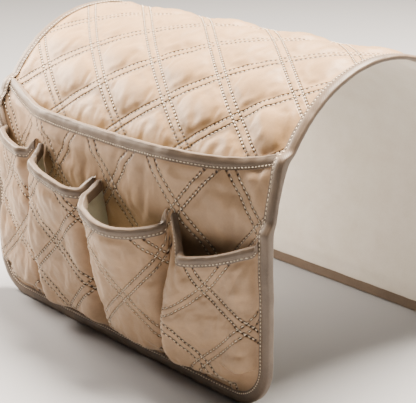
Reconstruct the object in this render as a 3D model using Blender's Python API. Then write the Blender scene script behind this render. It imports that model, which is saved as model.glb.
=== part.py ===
"""Sofa armrest organizer: a quilted strip over an arm, with a magazine pocket and four small pockets.

Units are metres and +Z is up. The origin is the middle of the flat under the crown, where the strip
lies on the arm. X runs across the strip and the pockets face -Y. Every cloth piece is drawn flat and
then draped: x across, s along the strip from its front hem, and n out from the side that touches the arm.
"""

import math

import bmesh
import bpy
from mathutils import Vector

# Strip and the arm that it hangs on
WIDTH = 0.330
DROP = 0.126
ROLL_RADIUS = 0.103
CORNER_RADIUS = 0.034
ROLL_ROWS = 23
HINGE_ROWS = 5

# Layers
GRIP_LINING = 0.0015
LINING = 0.0006
WADDING = 0.0009
FACING = 0.0010
POCKET_FACING = 0.0013
SEAM_GAP = 0.0003

# Quilting
QUILT_PITCH = 0.076
QUILT_ANCHOR = 0.0645
MAGAZINE_QUILT_ANCHOR = 0.046
POCKET_QUILT_ANCHOR = 0.077
PUFF = 0.0026
PUFF_FADE = 0.018
QUILT_COLUMNS = 4

# Binding tape
TAPE = 0.0008
TAPE_LIP = 0.0080
MOUTH_LIP = 0.0090
MOUTH_FIT = 0.0007
TAPE_ROUND = 0.0012
CORNER_STEPS = 6

# Magazine pocket
MAGAZINE_ROWS = 4
MAGAZINE_BULGE = 0.021
MAGAZINE_SIDE_RISE = 0.070
MAGAZINE_MOUTH_SAG = 0.0125

# Small pockets
DIVIDER_SPACING = 0.0775
POCKET_MOUTH = 0.1345
MOUTH_TILT = 0.0154
MOUTH_CURVE = 0.0138
PLEAT_FOOT = 0.0014
PLEAT_BOW = 0.0008
PLEAT_DEPTH = 0.0265
LIP_DROP = 0.020
BAG_DEPTH = 0.0095
BAG_HEIGHT = 0.030
FRONT_STEPS = 8
PLEAT_STEPS = 2
UPPER_STEPS = 4
SEAM_BAR_WIDTH = 0.0012
SEAM_BAR_HEIGHT = 0.0030
SEAM_BAR_LENGTH = 0.012
MOUTH_RAMP = 0.020
EDGE_RAMP = 0.006
CORNER_PRESS = 7

# Lip of each small pocket at its mouth, at its left fold, its middle and its right fold. A row holds
# the place across the pocket, the depth in front of the magazine pocket and the rise or sag of the lip,
# as shares of the pocket's width, of PLEAT_DEPTH and of LIP_DROP.
LIP_SHARES = (
    ((0.20, 0.0, -0.85), (0.50, 0.27, -0.80), (0.92, 0.22, -0.50)),
    ((0.05, 0.39, -0.39), (0.50, 0.62, -0.36), (0.95, 0.50, -0.38)),
    ((0.05, 0.75, -0.33), (0.547, 0.93, -0.74), (0.965, 0.17, -0.22)),
    ((0.168, 0.48, -0.78), (0.50, 0.36, -0.42), (0.885, 0.0, -0.07)),
)

# Hinge lines stand just outside the outermost layer that crosses them
HINGE_CLEARANCE = 0.0010

# Places along the strip
EDGE_FLAT = CORNER_RADIUS * (1 - math.cos(math.pi / 4))
LIP_FLAT = MOUTH_LIP + 2 * SEAM_GAP
ROW = math.pi * ROLL_RADIUS / ROLL_ROWS
QUILT_RISE = 4 * ROW
CROWN = DROP + math.pi * ROLL_RADIUS / 2
ROLL_END = DROP + math.pi * ROLL_RADIUS
STRIP_LENGTH = ROLL_END + DROP
FRONT_HINGE = DROP + HINGE_ROWS * ROW
BACK_HINGE = ROLL_END - HINGE_ROWS * ROW
MAGAZINE_MOUTH = DROP + MAGAZINE_ROWS * ROW
CROWN_FLAT = ROLL_RADIUS * math.cos(ROW / ROLL_RADIUS / 2)

# Levels of the layers
LEG_LEVEL = TAPE + SEAM_GAP
LEG_REACH = TAPE_LIP + 2 * SEAM_GAP
WADDING_LEVEL = GRIP_LINING + SEAM_GAP
FACING_LEVEL = WADDING_LEVEL + WADDING + SEAM_GAP
COVER_TOP = FACING_LEVEL + FACING
MAGAZINE_LEVEL = COVER_TOP + SEAM_GAP
MAGAZINE_FACING_LEVEL = MAGAZINE_LEVEL + LINING + SEAM_GAP
MAGAZINE_TOP = MAGAZINE_FACING_LEVEL + POCKET_FACING
TAPE_ROOM = TAPE + MOUTH_FIT
POCKET_LEVEL = MAGAZINE_TOP + SEAM_GAP
POCKET_STACK = LINING + SEAM_GAP + POCKET_FACING
POCKET_TOP = POCKET_LEVEL + POCKET_STACK
DIVIDER_HALF_GAP = POCKET_STACK + TAPE + MOUTH_FIT + SEAM_GAP
HINGE_LEVEL = COVER_TOP + PUFF + HINGE_CLEARANCE

# Corners of the tape's section that the faces of its cut ends take
TAPE_END = ((0, 1, 8, 9), (1, 2, 8), (2, 3, 7, 8), (3, 4, 7), (4, 5, 6, 7))

SATIN = ("satin_polyester", (0.60, 0.47, 0.37), 0.42)
TAPE_CLOTH = ("binding_tape", (0.42, 0.34, 0.27), 0.55)
GRIP = ("grip_lining", (0.80, 0.76, 0.68), 0.75)
POCKET_CLOTH = ("pocket_lining", (0.66, 0.66, 0.60), 0.70)
FILL = ("wadding", (0.90, 0.89, 0.86), 0.95)


def drape(x, s, n):
    """Place a point of the flat cloth on the arm."""
    if s <= DROP:
        return Vector((x, -(ROLL_RADIUS + n), s - DROP - CROWN_FLAT))
    if s >= ROLL_END:
        return Vector((x, ROLL_RADIUS + n, ROLL_END - s - CROWN_FLAT))
    turn = (s - CROWN) / ROLL_RADIUS
    reach = ROLL_RADIUS + n
    return Vector((x, reach * math.sin(turn), reach * math.cos(turn) - CROWN_FLAT))


def drape_normal(s):
    """Direction out of the arm at s."""
    turn = (min(max(s, DROP), ROLL_END) - CROWN) / ROLL_RADIUS
    return Vector((0, math.sin(turn), math.cos(turn)))


def ease(share):
    """Smooth rise from 0 to 1 for a share of the way."""
    share = min(max(share, 0), 1)
    return share * share * (3 - 2 * share)


def half_width(s, depth=0):
    """Half the strip's width at s, at a depth in from its edge, less where the hem corners are round."""
    hem = min(s, STRIP_LENGTH - s)
    if hem >= CORNER_RADIUS:
        return WIDTH / 2 - depth
    reach = CORNER_RADIUS - depth
    rest = CORNER_RADIUS - hem
    return WIDTH / 2 - CORNER_RADIUS + math.sqrt(max(reach**2 - rest**2, 0))


def inset(x, s):
    """Distance from the edge of the strip, with its round corners."""
    hem = min(s, STRIP_LENGTH - s)
    side = WIDTH / 2 - abs(x)
    if side < CORNER_RADIUS and hem < CORNER_RADIUS:
        return CORNER_RADIUS - math.hypot(CORNER_RADIUS - side, CORNER_RADIUS - hem)
    return min(side, hem)


def quilt_shares(x, s, anchor):
    """Places across the two families of stitch lines, whole numbers on a line."""
    across = (x - anchor) / QUILT_PITCH
    along = (s - CROWN + ROW / 2) / QUILT_RISE
    return across - along, across + along


def puff(x, s, anchor):
    """Height of a quilted diamond as a share, 0 on its stitch lines."""
    a_share, b_share = quilt_shares(x, s, anchor)
    return math.sqrt(abs(math.sin(math.pi * a_share) * math.sin(math.pi * b_share)))


def knots(start, end, anchor, step, spare_share=0.3):
    """Places from start to end that meet the quilting, with both ends."""
    first = math.ceil((start - anchor) / step + spare_share)
    last = math.floor((end - anchor) / step - spare_share)
    return [start] + [anchor + index * step for index in range(first, last + 1)] + [end]


def corner_knots():
    """Places along a hem corner that keep it round."""
    turns = [index * math.pi / 2 / CORNER_STEPS for index in range(1, CORNER_STEPS + 1)]
    return [CORNER_RADIUS * (1 - math.cos(turn)) for turn in turns]


def strip_rows(start, end, flat=0):
    """Places along the strip where its layers bend, with both ends and a flat run before the end."""
    spare = math.ceil(DROP / ROW)
    rows = [DROP + index * ROW for index in range(-spare, ROLL_ROWS + spare + 1)]
    round_rows = corner_knots()
    round_rows += [STRIP_LENGTH - row for row in round_rows]
    hem = CORNER_RADIUS + ROW / 2
    rows = [row for row in rows if hem < row < STRIP_LENGTH - hem]
    last = end - flat
    rows = sorted(row for row in rows + round_rows if start + ROW / 9 < row < last - ROW / 9)
    return [start] + rows + ([last, end] if flat else [end])


def strip_columns(anchor):
    """Places across the strip that meet the quilting, with the flat edges under the binding."""
    reach = WIDTH / 2 - EDGE_FLAT
    inner = knots(-reach, reach, anchor, QUILT_PITCH / QUILT_COLUMNS)
    return [-WIDTH / 2] + inner + [WIDTH / 2]


def narrowed(x, s):
    """Place across the strip, drawn in beside a round corner."""
    fixed = WIDTH / 2 - CORNER_RADIUS - ROW
    if abs(x) <= fixed:
        return x
    reach = (abs(x) - fixed) * (half_width(s) - fixed) / (WIDTH / 2 - fixed)
    return math.copysign(fixed + reach, x)


def cover_puff(x, s):
    """Puff of the strip's facing, pressed flat behind the pockets and beside the edge."""
    shown = ease((s - MAGAZINE_MOUTH + PUFF_FADE) / PUFF_FADE)
    return PUFF * shown * puff(x, s, QUILT_ANCHOR) * ease((inset(x, s) - EDGE_FLAT) / PUFF_FADE)


def row_top(x):
    """Place of the small pockets' mouth line, which curves up towards the left end."""
    share = 2 * x / WIDTH
    return POCKET_MOUTH - MOUTH_TILT * share + MOUTH_CURVE * share**2


def magazine_bulge(x, s):
    """How far the magazine pocket stands off the strip, later up the strip towards its sides."""
    side = min(max((WIDTH / 2 - abs(x) - EDGE_FLAT) / MAGAZINE_SIDE_RISE, 0), 1)
    side_share = 1 - math.cos(side * math.pi / 2)
    rise_share = min(max(s - EDGE_FLAT, 0) / (MAGAZINE_MOUTH - EDGE_FLAT), 1) ** (4.3 - 3.5 * side)
    return MAGAZINE_BULGE * side_share * rise_share + mouth_room(s, MAGAZINE_MOUTH)


def mouth_room(s, mouth):
    """Room that a layer leaves under itself for the tape over its mouth."""
    return TAPE_ROOM * ease((s - mouth + LIP_FLAT + MOUTH_RAMP) / MOUTH_RAMP)


def magazine_puff(x, s):
    """Puff of the magazine pocket, pressed flat behind the small pockets."""
    shown = ease((s - row_top(x)) / PUFF_FADE)
    below_mouth = ease((MAGAZINE_MOUTH - LIP_FLAT - s) / PUFF_FADE)
    edge = ease((inset(x, s) - EDGE_FLAT) / PUFF_FADE)
    return PUFF * shown * puff(x, s, MAGAZINE_QUILT_ANCHOR) * edge * below_mouth


def magazine_rise(x, s):
    """Place along the strip after the sag in the middle of the mouth."""
    middle_share = 1 - (2 * min(abs(x) + EDGE_FLAT, WIDTH / 2) / WIDTH) ** 4
    reach = MAGAZINE_MOUTH - LIP_FLAT - row_top(x)
    return s - MAGAZINE_MOUTH_SAG * middle_share * ease((s - row_top(x)) / reach)


def between(values, place):
    """Index and share of a place in a rising list."""
    index = 0
    while index < len(values) - 2 and place > values[index + 1]:
        index += 1
    return index, (place - values[index]) / (values[index + 1] - values[index])


def magazine_front(x, s):
    """Outer level of the magazine pocket as its facets run."""
    columns = strip_columns(MAGAZINE_QUILT_ANCHOR)
    rows = strip_rows(0, MAGAZINE_MOUTH, LIP_FLAT)
    column, across_share = between(columns, x)
    row, along_share = between(rows, s)
    levels = []
    for row_place in rows[row:row + 2]:
        pair = [magazine_level(place, row_place) for place in columns[column:column + 2]]
        levels.append(pair[0] + (pair[1] - pair[0]) * across_share)
    return levels[0] + (levels[1] - levels[0]) * along_share


def magazine_level(x, s):
    """Outer level of the magazine pocket."""
    return MAGAZINE_TOP + magazine_bulge(x, s) + magazine_puff(x, s)


def make_material(finish):
    """Principled material of a finish, made once."""
    name, colour, roughness = finish
    if name in bpy.data.materials:
        return bpy.data.materials[name]
    material = bpy.data.materials.new(name)
    material.use_nodes = True
    shader = material.node_tree.nodes["Principled BSDF"]
    shader.inputs["Base Color"].default_value = (*colour, 1)
    shader.inputs["Roughness"].default_value = roughness
    shader.inputs["Metallic"].default_value = 0
    return material


def add_object(name, shape, finish, body):
    """Turn a bmesh into an object that hangs on its body's empty."""
    bmesh.ops.translate(shape, vec=-body.location, verts=shape.verts)
    bmesh.ops.recalc_face_normals(shape, faces=shape.faces)
    mesh = bpy.data.meshes.new(name)
    shape.to_mesh(mesh)
    shape.free()
    mesh.shade_smooth()
    mesh.set_sharp_from_angle(angle=math.radians(50))
    mesh.materials.append(make_material(finish))
    piece = bpy.data.objects.new(name, mesh)
    piece.parent = body
    bpy.context.scene.collection.objects.link(piece)
    return piece


def add_body(name, place):
    """Empty on a joint's axis, or at the origin for the fixed body."""
    body = bpy.data.objects.new(name, None)
    body.location = place
    bpy.context.scene.collection.objects.link(body)
    return body


def fill_grid(shape, grid, flips, turned):
    """Faces of one side of a sheet, cut along the stitch lines."""
    for row in range(len(grid) - 1):
        for column in range(len(grid[0]) - 1):
            near, far = grid[row], grid[row + 1]
            corners = [near[column], near[column + 1], far[column + 1], far[column]]
            if flips[row][column]:
                corners = corners[1:] + corners[:1]
            triangles = [(corners[0], corners[1], corners[2]), (corners[0], corners[2], corners[3])]
            for triangle in triangles:
                shape.faces.new(triangle[::-1] if turned else triangle)


def sheet(name, upper, lower, finish, body, flips=None):
    """Closed sheet of cloth between two grids of points."""
    shape = bmesh.new()
    tops = [[shape.verts.new(point) for point in row] for row in upper]
    feet = [[shape.verts.new(point) for point in row] for row in lower]
    flips = flips or [[False] * (len(upper[0]) - 1) for _ in upper[1:]]
    fill_grid(shape, tops, flips, False)
    fill_grid(shape, feet, flips, True)
    rim_top = ring(tops)
    rim_foot = ring(feet)
    for index in range(len(rim_top)):
        shape.faces.new((rim_top[index - 1], rim_foot[index - 1], rim_foot[index], rim_top[index]))
    return add_object(name, shape, finish, body)


def ring(grid):
    """Points round the rim of a grid."""
    right = [row[-1] for row in grid[1:]]
    back = grid[-1][-2::-1]
    left = [row[0] for row in grid[-2:0:-1]]
    return grid[0] + right + back + left


def quilt_flips(columns, rows, anchor):
    """Which cells are cut along their falling diagonal, so that cuts follow the stitch lines."""
    flips = []
    for near, far in zip(rows, rows[1:]):
        line = []
        for left, right in zip(columns, columns[1:]):
            ends = [quilt_shares(left, far, anchor)[1], quilt_shares(right, near, anchor)[1]]
            line.append(all(abs(end - round(end)) < 0.09 for end in ends))
        flips.append(line)
    return flips


def cover_sheet(name, start, end, lower, upper, finish, body, quilted=False):
    """One layer of the strip from start to end."""
    columns = strip_columns(QUILT_ANCHOR)
    rows = strip_rows(start, end)

    def level(x, s):
        return upper + (cover_puff(x, s) if quilted else 0)

    tops = [[drape(narrowed(x, s), s, level(narrowed(x, s), s)) for x in columns] for s in rows]
    feet = [[drape(narrowed(x, s), s, lower) for x in columns] for s in rows]
    sheet(name, tops, feet, finish, body, quilt_flips(columns, rows, QUILT_ANCHOR))


def lining_places(s):
    """Places from the strip's edge at s in to the border that the binding's inner leg lies on."""
    places = [half_width(s)]
    for depth in (LEG_REACH, LEG_REACH + SEAM_GAP):
        places.append(min(half_width(s, depth), places[-1] - SEAM_GAP))
    return places


def lining_sheet(name, start, end, body):
    """Grip lining of one stretch, thin along the strip's edge so that the binding ends flush with it."""
    borders = [LEG_REACH, LEG_REACH + SEAM_GAP]
    borders += [STRIP_LENGTH - border for border in borders]
    rows = sorted(strip_rows(start, end) + [border for border in borders if start < border < end])
    tops, feet = [], []
    for s in rows:
        places = lining_places(s)
        across = [-place for place in places] + places[::-1]
        middle = 0 if LEG_REACH + SEAM_GAP / 2 < s < STRIP_LENGTH - LEG_REACH - SEAM_GAP / 2 else LEG_LEVEL
        levels = (LEG_LEVEL, LEG_LEVEL, middle, middle, LEG_LEVEL, LEG_LEVEL)
        tops.append([drape(x, s, GRIP_LINING) for x in across])
        feet.append([drape(x, s, level) for x, level in zip(across, levels)])
    sheet(name, tops, feet, GRIP, body)


def magazine_point(x, s, level):
    """Point of the magazine pocket at a level above its seat."""
    return drape(x, magazine_rise(x, s), level + magazine_bulge(x, s))


def magazine_sheet(name, lower, upper, finish, body, quilted=False):
    """One layer of the magazine pocket."""
    columns = strip_columns(MAGAZINE_QUILT_ANCHOR)
    rows = strip_rows(0, MAGAZINE_MOUTH, LIP_FLAT)

    def point(x, s, level, puffed):
        place = narrowed(x, s)
        rise = magazine_puff(place, s) if puffed else 0
        return magazine_point(place, s, level + rise)

    tops = [[point(x, s, upper, quilted) for x in columns] for s in rows]
    feet = [[point(x, s, lower, False) for x in columns] for s in rows]
    flips = quilt_flips(columns, rows, MAGAZINE_QUILT_ANCHOR)
    flips[-1] = [False] * len(flips[-1])
    sheet(name, tops, feet, finish, body, flips)


def tape_section(under, over, lip, fit):
    """Section of folded tape: out from the cloth's edge, and through it from under to over."""
    inner_low, inner_high = under - fit, over + fit
    low, high = inner_low - TAPE, inner_high + TAPE
    nose = SEAM_GAP + TAPE
    bend = min(TAPE_ROUND, (high - low) / 2.5)
    return [
        (-lip, low), (nose - bend, low), (nose, low + bend), (nose, high - bend),
        (nose - bend, high), (-lip, high), (-lip, inner_high), (SEAM_GAP, inner_high),
        (SEAM_GAP, inner_low), (-lip, inner_low),
    ]


def tape(name, stations, lip, fit, body):
    """Folded tape along an edge. A station holds a point, the way out, the way through and two levels."""
    shape = bmesh.new()
    loops = []
    for point, outward, through, under, over in stations:
        section = tape_section(under, over, lip, fit)
        loops.append([shape.verts.new(point + outward * out + through * up) for out, up in section])
    outs = [out for out, _ in tape_section(0, TAPE, lip, fit)]
    for near, far in zip(loops, loops[1:]):
        for index in range(len(near)):
            corners = [near[index - 1], near[index], far[index], far[index - 1]]
            if outs[index] < outs[index - 1]:
                corners = corners[1:] + corners[:1]
            shape.faces.new((corners[0], corners[1], corners[2]))
            shape.faces.new((corners[0], corners[2], corners[3]))
    for corners in TAPE_END:
        shape.faces.new([loops[0][corner] for corner in corners[::-1]])
        shape.faces.new([loops[-1][corner] for corner in corners])
    return add_object(name, shape, TAPE_CLOTH, body)


def edge_stack(side, s):
    """Top of the layers that the edge binding folds over, on one side at s."""
    top = row_top(side * WIDTH / 2)
    magazine_share = ease((MAGAZINE_MOUTH + EDGE_RAMP - s) / EDGE_RAMP)
    pocket_share = ease((top + EDGE_RAMP - s) / EDGE_RAMP)
    magazine = MAGAZINE_TOP + mouth_room(s, MAGAZINE_MOUTH) - COVER_TOP
    pocket = POCKET_TOP + mouth_room(s + LIP_DROP, top) - MAGAZINE_TOP
    return COVER_TOP + magazine * magazine_share + pocket * pocket_share


def edge_station(x, s, out_x, out_s, over):
    """Binding station on the strip's edge, facing out_x, out_s in the flat cloth."""
    normal = drape_normal(s)
    along = Vector((1, 0, 0)).cross(normal)
    outward = Vector((1, 0, 0)) * out_x - along * out_s
    return drape(x, s, 0), outward, normal, LEG_LEVEL, over


def side_places(side, start, end):
    """Places of a side binding's stations, with more where its stack changes."""
    top = row_top(side * WIDTH / 2)
    marks = [top + EDGE_RAMP, top, top - LIP_FLAT]
    marks += [MAGAZINE_MOUTH + EDGE_RAMP, MAGAZINE_MOUTH, MAGAZINE_MOUTH - LIP_FLAT]
    inner = [place for place in strip_rows(start, end) if CORNER_RADIUS < place < STRIP_LENGTH - CORNER_RADIUS]
    inner += [mark for mark in marks if start < mark < end]
    places = sorted(inner)
    return [place for index, place in enumerate(places) if index == 0 or place - places[index - 1] > ROW / 9]


def hem_turns():
    """Angles round a hem corner, from the side to the hem."""
    return [index * math.pi / 2 / CORNER_STEPS for index in range(CORNER_STEPS + 1)]


def side_stations(side, start, end):
    """Stations up one side of the strip."""
    places = side_places(side, start, end)
    return [edge_station(side * WIDTH / 2, s, side, 0, edge_stack(side, s)) for s in places]


def corner_stations(side, hem, way):
    """Stations round one hem corner, from the side to the hem."""
    stations = []
    centre_x = side * (WIDTH / 2 - CORNER_RADIUS)
    centre_s = hem + way * CORNER_RADIUS
    for turn in hem_turns():
        out_x, out_s = side * math.cos(turn), -way * math.sin(turn)
        x, s = centre_x + CORNER_RADIUS * out_x, centre_s + CORNER_RADIUS * out_s
        stations.append(edge_station(x, s, out_x, out_s, edge_stack(side, s)))
    return stations


def end_binding(name, hem, way, hinge, body):
    """Binding down one side, round the hem and up the other side."""
    near, far = sorted((hem + way * CORNER_RADIUS, hinge))
    right = side_stations(1, near, far)[::-way]
    left = side_stations(-1, near, far)[::way]
    round_right = corner_stations(1, hem, way)
    round_left = corner_stations(-1, hem, way)[::-1]
    stations = right + round_right + round_left + left
    tape(name, stations, TAPE_LIP, SEAM_GAP, body)


def magazine_mouth_binding(body):
    """Folded tape over the magazine pocket's mouth, between the side bindings."""
    reach = WIDTH / 2 - TAPE_LIP - SEAM_GAP
    columns = [x for x in strip_columns(MAGAZINE_QUILT_ANCHOR) if abs(x) < reach]
    stations = []
    for x in [-reach] + columns + [reach]:
        point = magazine_point(x, MAGAZINE_MOUTH, 0)
        below = magazine_point(x, MAGAZINE_MOUTH - LIP_FLAT, 0)
        above = magazine_point(x, MAGAZINE_MOUTH, MAGAZINE_TOP) - point
        through = above / MAGAZINE_TOP
        outward = (point - below).normalized()
        stations.append((point, outward, through, MAGAZINE_LEVEL, MAGAZINE_TOP))
    tape("magazine_mouth_binding", stations, MOUTH_LIP, MOUTH_FIT, body)


def curve_through(points, share):
    """Smooth curve through three points at 0, 0.5 and 1."""
    first, middle, last = points
    weights = ((1 - share) * (1 - 2 * share), 4 * share * (1 - share), share * (2 * share - 1))
    return tuple(
        first[axis] * weights[0] + middle[axis] * weights[1] + last[axis] * weights[2]
        for axis in range(len(first))
    )


def pocket_sides(number):
    """Left and right ends of a small pocket's seat."""
    left = (number - 3) * DIVIDER_SPACING + DIVIDER_HALF_GAP
    right = (number - 2) * DIVIDER_SPACING - DIVIDER_HALF_GAP
    return (-WIDTH / 2 if number == 1 else left), (WIDTH / 2 if number == 4 else right)


def pocket_plan():
    """Shares across the pocket's cloth: its left pleat, its front and its right pleat."""
    left = [(0, index / PLEAT_STEPS) for index in range(PLEAT_STEPS)]
    front = [(1, index / FRONT_STEPS) for index in range(FRONT_STEPS + 1)]
    right = [(2, index / PLEAT_STEPS) for index in range(1, PLEAT_STEPS + 1)]
    return left + front + right


def pocket_foot_x(number, part, share):
    """Place across the pocket at its sewn foot."""
    left, right = pocket_sides(number)
    start = left + (EDGE_FLAT if number == 1 else PLEAT_FOOT)
    end = right - (EDGE_FLAT if number == 4 else PLEAT_FOOT)
    if part == 0:
        return left + (start - left) * share
    if part == 2:
        return end + (right - end) * share
    return start + (end - start) * share


def pocket_lip(number, part, share):
    """Place across, depth and rise of the pocket's lip."""
    left, right = pocket_sides(number)
    width = right - left
    rows = [
        (left + across_share * width, depth_share * PLEAT_DEPTH, rise_share * LIP_DROP)
        for across_share, depth_share, rise_share in LIP_SHARES[number - 1]
    ]
    if part == 0:
        ends = (left, 0, 0), rows[0]
    elif part == 2:
        ends = rows[2], (right, 0, 0)
    else:
        return curve_through(rows, share)
    return tuple(first + (last - first) * share for first, last in zip(*ends))


def pocket_rows(top):
    """Places up a small pocket's cloth to its top, as many for any top."""
    lower = strip_rows(0, DROP - ROW)
    step = (top - LIP_FLAT - lower[-1]) / UPPER_STEPS
    return lower + [lower[-1] + index * step for index in range(1, UPPER_STEPS + 1)] + [top]


def pocket_point(number, part, share, s):
    """Place across, along and above the arm of the pocket's inner side."""
    lip_x, depth, rise = pocket_lip(number, part, share)
    foot_x = pocket_foot_x(number, part, share)
    top = row_top(lip_x)
    open_share = max(s - EDGE_FLAT, 0) / (top - EDGE_FLAT)
    x = foot_x + (lip_x - foot_x) * open_share**0.75
    if part != 1:
        x += (1 - part) * PLEAT_BOW * math.sin(math.pi * share) * open_share
    front_share = ease(math.sin(math.pi * share) * 3) if part == 1 else 0
    bag = BAG_DEPTH * front_share * ease((s - EDGE_FLAT) / BAG_HEIGHT) * (1 - 0.6 * open_share)
    x = narrowed(x, s)
    place = s + rise * ease(open_share)
    level = magazine_front(x, place) + SEAM_GAP + mouth_room(s, top)
    stand = (depth * open_share**0.75 + bag) * corner_share(x, s)
    return Vector((x, place, level + stand))


def corner_share(x, s):
    """Share of a pocket's depth that a round hem corner leaves it."""
    if WIDTH / 2 - abs(x) >= CORNER_RADIUS or not EDGE_FLAT < s < CORNER_RADIUS:
        return 1
    return min(max((inset(x, s) - EDGE_FLAT) / (s - EDGE_FLAT), 0), 1) ** CORNER_PRESS


def pocket_normals(points):
    """Directions out of the pocket's cloth in flat space, longer where it folds."""
    normals = []
    for row_index, row in enumerate(points):
        line = []
        for index, point in enumerate(row):
            before = (point - row[index - 1]) if index > 0 else None
            after = (row[index + 1] - point) if index < len(row) - 1 else None
            sides = [Vector((side.x, 0, side.z)).normalized() for side in (before, after) if side]
            turned = [Vector((-side.z, 0, side.x)) for side in sides]
            total = sum(turned, Vector())
            total.normalize()
            line.append(total / max(total.dot(turned[0]), 0.6))
        normals.append(line)
    return normals


def pocket_puff(x, s, top):
    """Puff of a small pocket's front."""
    edge = ease((inset(x, s) - EDGE_FLAT) / PUFF_FADE)
    lip = ease((top - LIP_FLAT - s) / PUFF_FADE)
    return PUFF * puff(x, s, POCKET_QUILT_ANCHOR) * edge * lip


def pocket_grids(number):
    """Grids of a small pocket: the points of its inner side, the ways out of it and its puff."""
    points, puffs = [], []
    for part, share in pocket_plan():
        top = row_top(pocket_lip(number, part, share)[0])
        rows = pocket_rows(top)
        line = [pocket_point(number, part, share, s) for s in rows]
        free = part == 1 and 0 < share < 1
        puffs.append([pocket_puff(point.x, s, top) if free else 0 for point, s in zip(line, rows)])
        points.append(line)
    points = [list(row) for row in zip(*points)]
    return points, pocket_normals(points), [list(row) for row in zip(*puffs)]


def lifted(points, normals, level):
    """Grid of draped points at a level out from a pocket's inner side."""
    grid = []
    for row, line in zip(points, normals):
        places = [point + normal * level for point, normal in zip(row, line)]
        grid.append([drape(place.x, place.y, place.z) for place in places])
    return grid


def small_pocket(number, body):
    """Lining, quilted facing and mouth binding of one small pocket."""
    points, normals, puffs = pocket_grids(number)
    facing_level = LINING + SEAM_GAP
    inner = lifted(points, normals, 0)
    lining_top = lifted(points, normals, LINING)
    facing_foot = lifted(points, normals, facing_level)
    facing_top = lifted(points, normals, POCKET_STACK)
    for row, heights in zip(facing_top, puffs):
        for column, height in enumerate(heights):
            row[column] += Vector((0, -height, 0))
    sheet(f"pocket_{number}_lining", lining_top, inner, POCKET_CLOTH, body)
    sheet(f"pocket_{number}_facing", facing_top, facing_foot, SATIN, body)
    stations = []
    for point, below, flat, normal in zip(inner[-1], inner[-2], points[-1], normals[-1]):
        through = Vector((normal.x, 0, 0)) + drape_normal(flat.y) * normal.z
        stations.append((point, (point - below).normalized(), through, 0, POCKET_STACK))
    tape(f"pocket_{number}_mouth_binding", pocket_tape_ends(number, stations), MOUTH_LIP, MOUTH_FIT, body)


def pocket_tape_ends(number, stations):
    """Stations of a mouth binding, cut back from the edge binding or from the pocket's seat."""
    seat = TAPE + 4 * SEAM_GAP
    edge = TAPE_LIP + 2 * TAPE + 2 * SEAM_GAP
    trimmed = cut_back(stations, edge if number == 1 else seat, number == 1)
    return cut_back(trimmed[::-1], edge if number == 4 else seat, number == 4)[::-1]


def cut_back(stations, length, level):
    """Stations without a length of tape at their start, measured level across where it meets the binding."""
    rest = length
    for index in range(len(stations) - 1):
        near, far = stations[index], stations[index + 1]
        step = abs(far[0].x - near[0].x) if level else (far[0] - near[0]).length
        if step > rest:
            share = rest / step
            ways = [first.lerp(last, share) for first, last in zip(near[:3], far[:3])]
            return [(*ways, *near[3:])] + stations[index + 1:]
        rest -= step
    return stations[-1:]


def divider_seam(number, body):
    """Bar of thread that tacks two neighbouring pockets to the magazine pocket."""
    x = (number - 2) * DIVIDER_SPACING
    shape = bmesh.new()
    head = row_top(x) - LIP_FLAT - SEAM_GAP
    corners = [
        drape(x + across * SEAM_BAR_WIDTH / 2, s, magazine_front(x, s) + 2 * SEAM_GAP + lift)
        for s in (head - SEAM_BAR_LENGTH, head)
        for across in (-1, 1)
        for lift in (0, SEAM_BAR_HEIGHT)
    ]
    verts = [shape.verts.new(corner) for corner in corners]
    bmesh.ops.convex_hull(shape, input=verts)
    add_object(f"divider_seam_{number}", shape, TAPE_CLOTH, body)


def cover_layers(stretch, start, end, body):
    """Lining, wadding and quilted facing of one stretch of the strip."""
    lining_sheet(f"{stretch}_lining", start, end, body)
    cover_sheet(f"{stretch}_wadding", start, end, WADDING_LEVEL, WADDING_LEVEL + WADDING, FILL, body)
    cover_sheet(f"{stretch}_facing", start, end, FACING_LEVEL, COVER_TOP, SATIN, body, quilted=True)


def main():
    """Build the organizer."""
    for item in list(bpy.data.objects):
        bpy.data.objects.remove(item, do_unlink=True)
    saddle = add_body("saddle_body", (0, 0, 0))
    front = add_body("front_flap_hinge", drape(0, FRONT_HINGE, HINGE_LEVEL))
    back = add_body("back_flap_hinge", drape(0, BACK_HINGE, HINGE_LEVEL))
    half_gap = SEAM_GAP / 2
    cover_layers("front", 0, FRONT_HINGE - half_gap, front)
    cover_layers("saddle", FRONT_HINGE + half_gap, BACK_HINGE - half_gap, saddle)
    cover_layers("back", BACK_HINGE + half_gap, STRIP_LENGTH, back)
    end_binding("front_binding", 0, 1, FRONT_HINGE - half_gap, front)
    end_binding("back_binding", STRIP_LENGTH, -1, BACK_HINGE + half_gap, back)
    for name, side in (("left", -1), ("right", 1)):
        stations = side_stations(side, FRONT_HINGE + half_gap, BACK_HINGE - half_gap)
        tape(f"saddle_binding_{name}", stations, TAPE_LIP, SEAM_GAP, saddle)
    magazine_sheet("magazine_pocket_lining", MAGAZINE_LEVEL, MAGAZINE_LEVEL + LINING, POCKET_CLOTH, front)
    magazine_sheet("magazine_pocket_facing", MAGAZINE_FACING_LEVEL, MAGAZINE_TOP, SATIN, front, quilted=True)
    magazine_mouth_binding(front)
    for number in range(1, 5):
        small_pocket(number, front)
    for number in range(1, 4):
        divider_seam(number, front)


main()
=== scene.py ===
"""Looks of a quilted sofa armrest organizer: cloth, pockets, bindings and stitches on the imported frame.

Every cloth piece is drawn flat and then draped, as on the cutting table: x across the strip, s along it
from the front hem, and n out from the side that touches the arm. Units are metres.
"""

from __future__ import annotations

import logging
import math
from dataclasses import dataclass, field
from enum import Enum

import bmesh
import bpy
import numpy as np
from mathutils import Matrix, Vector


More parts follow.
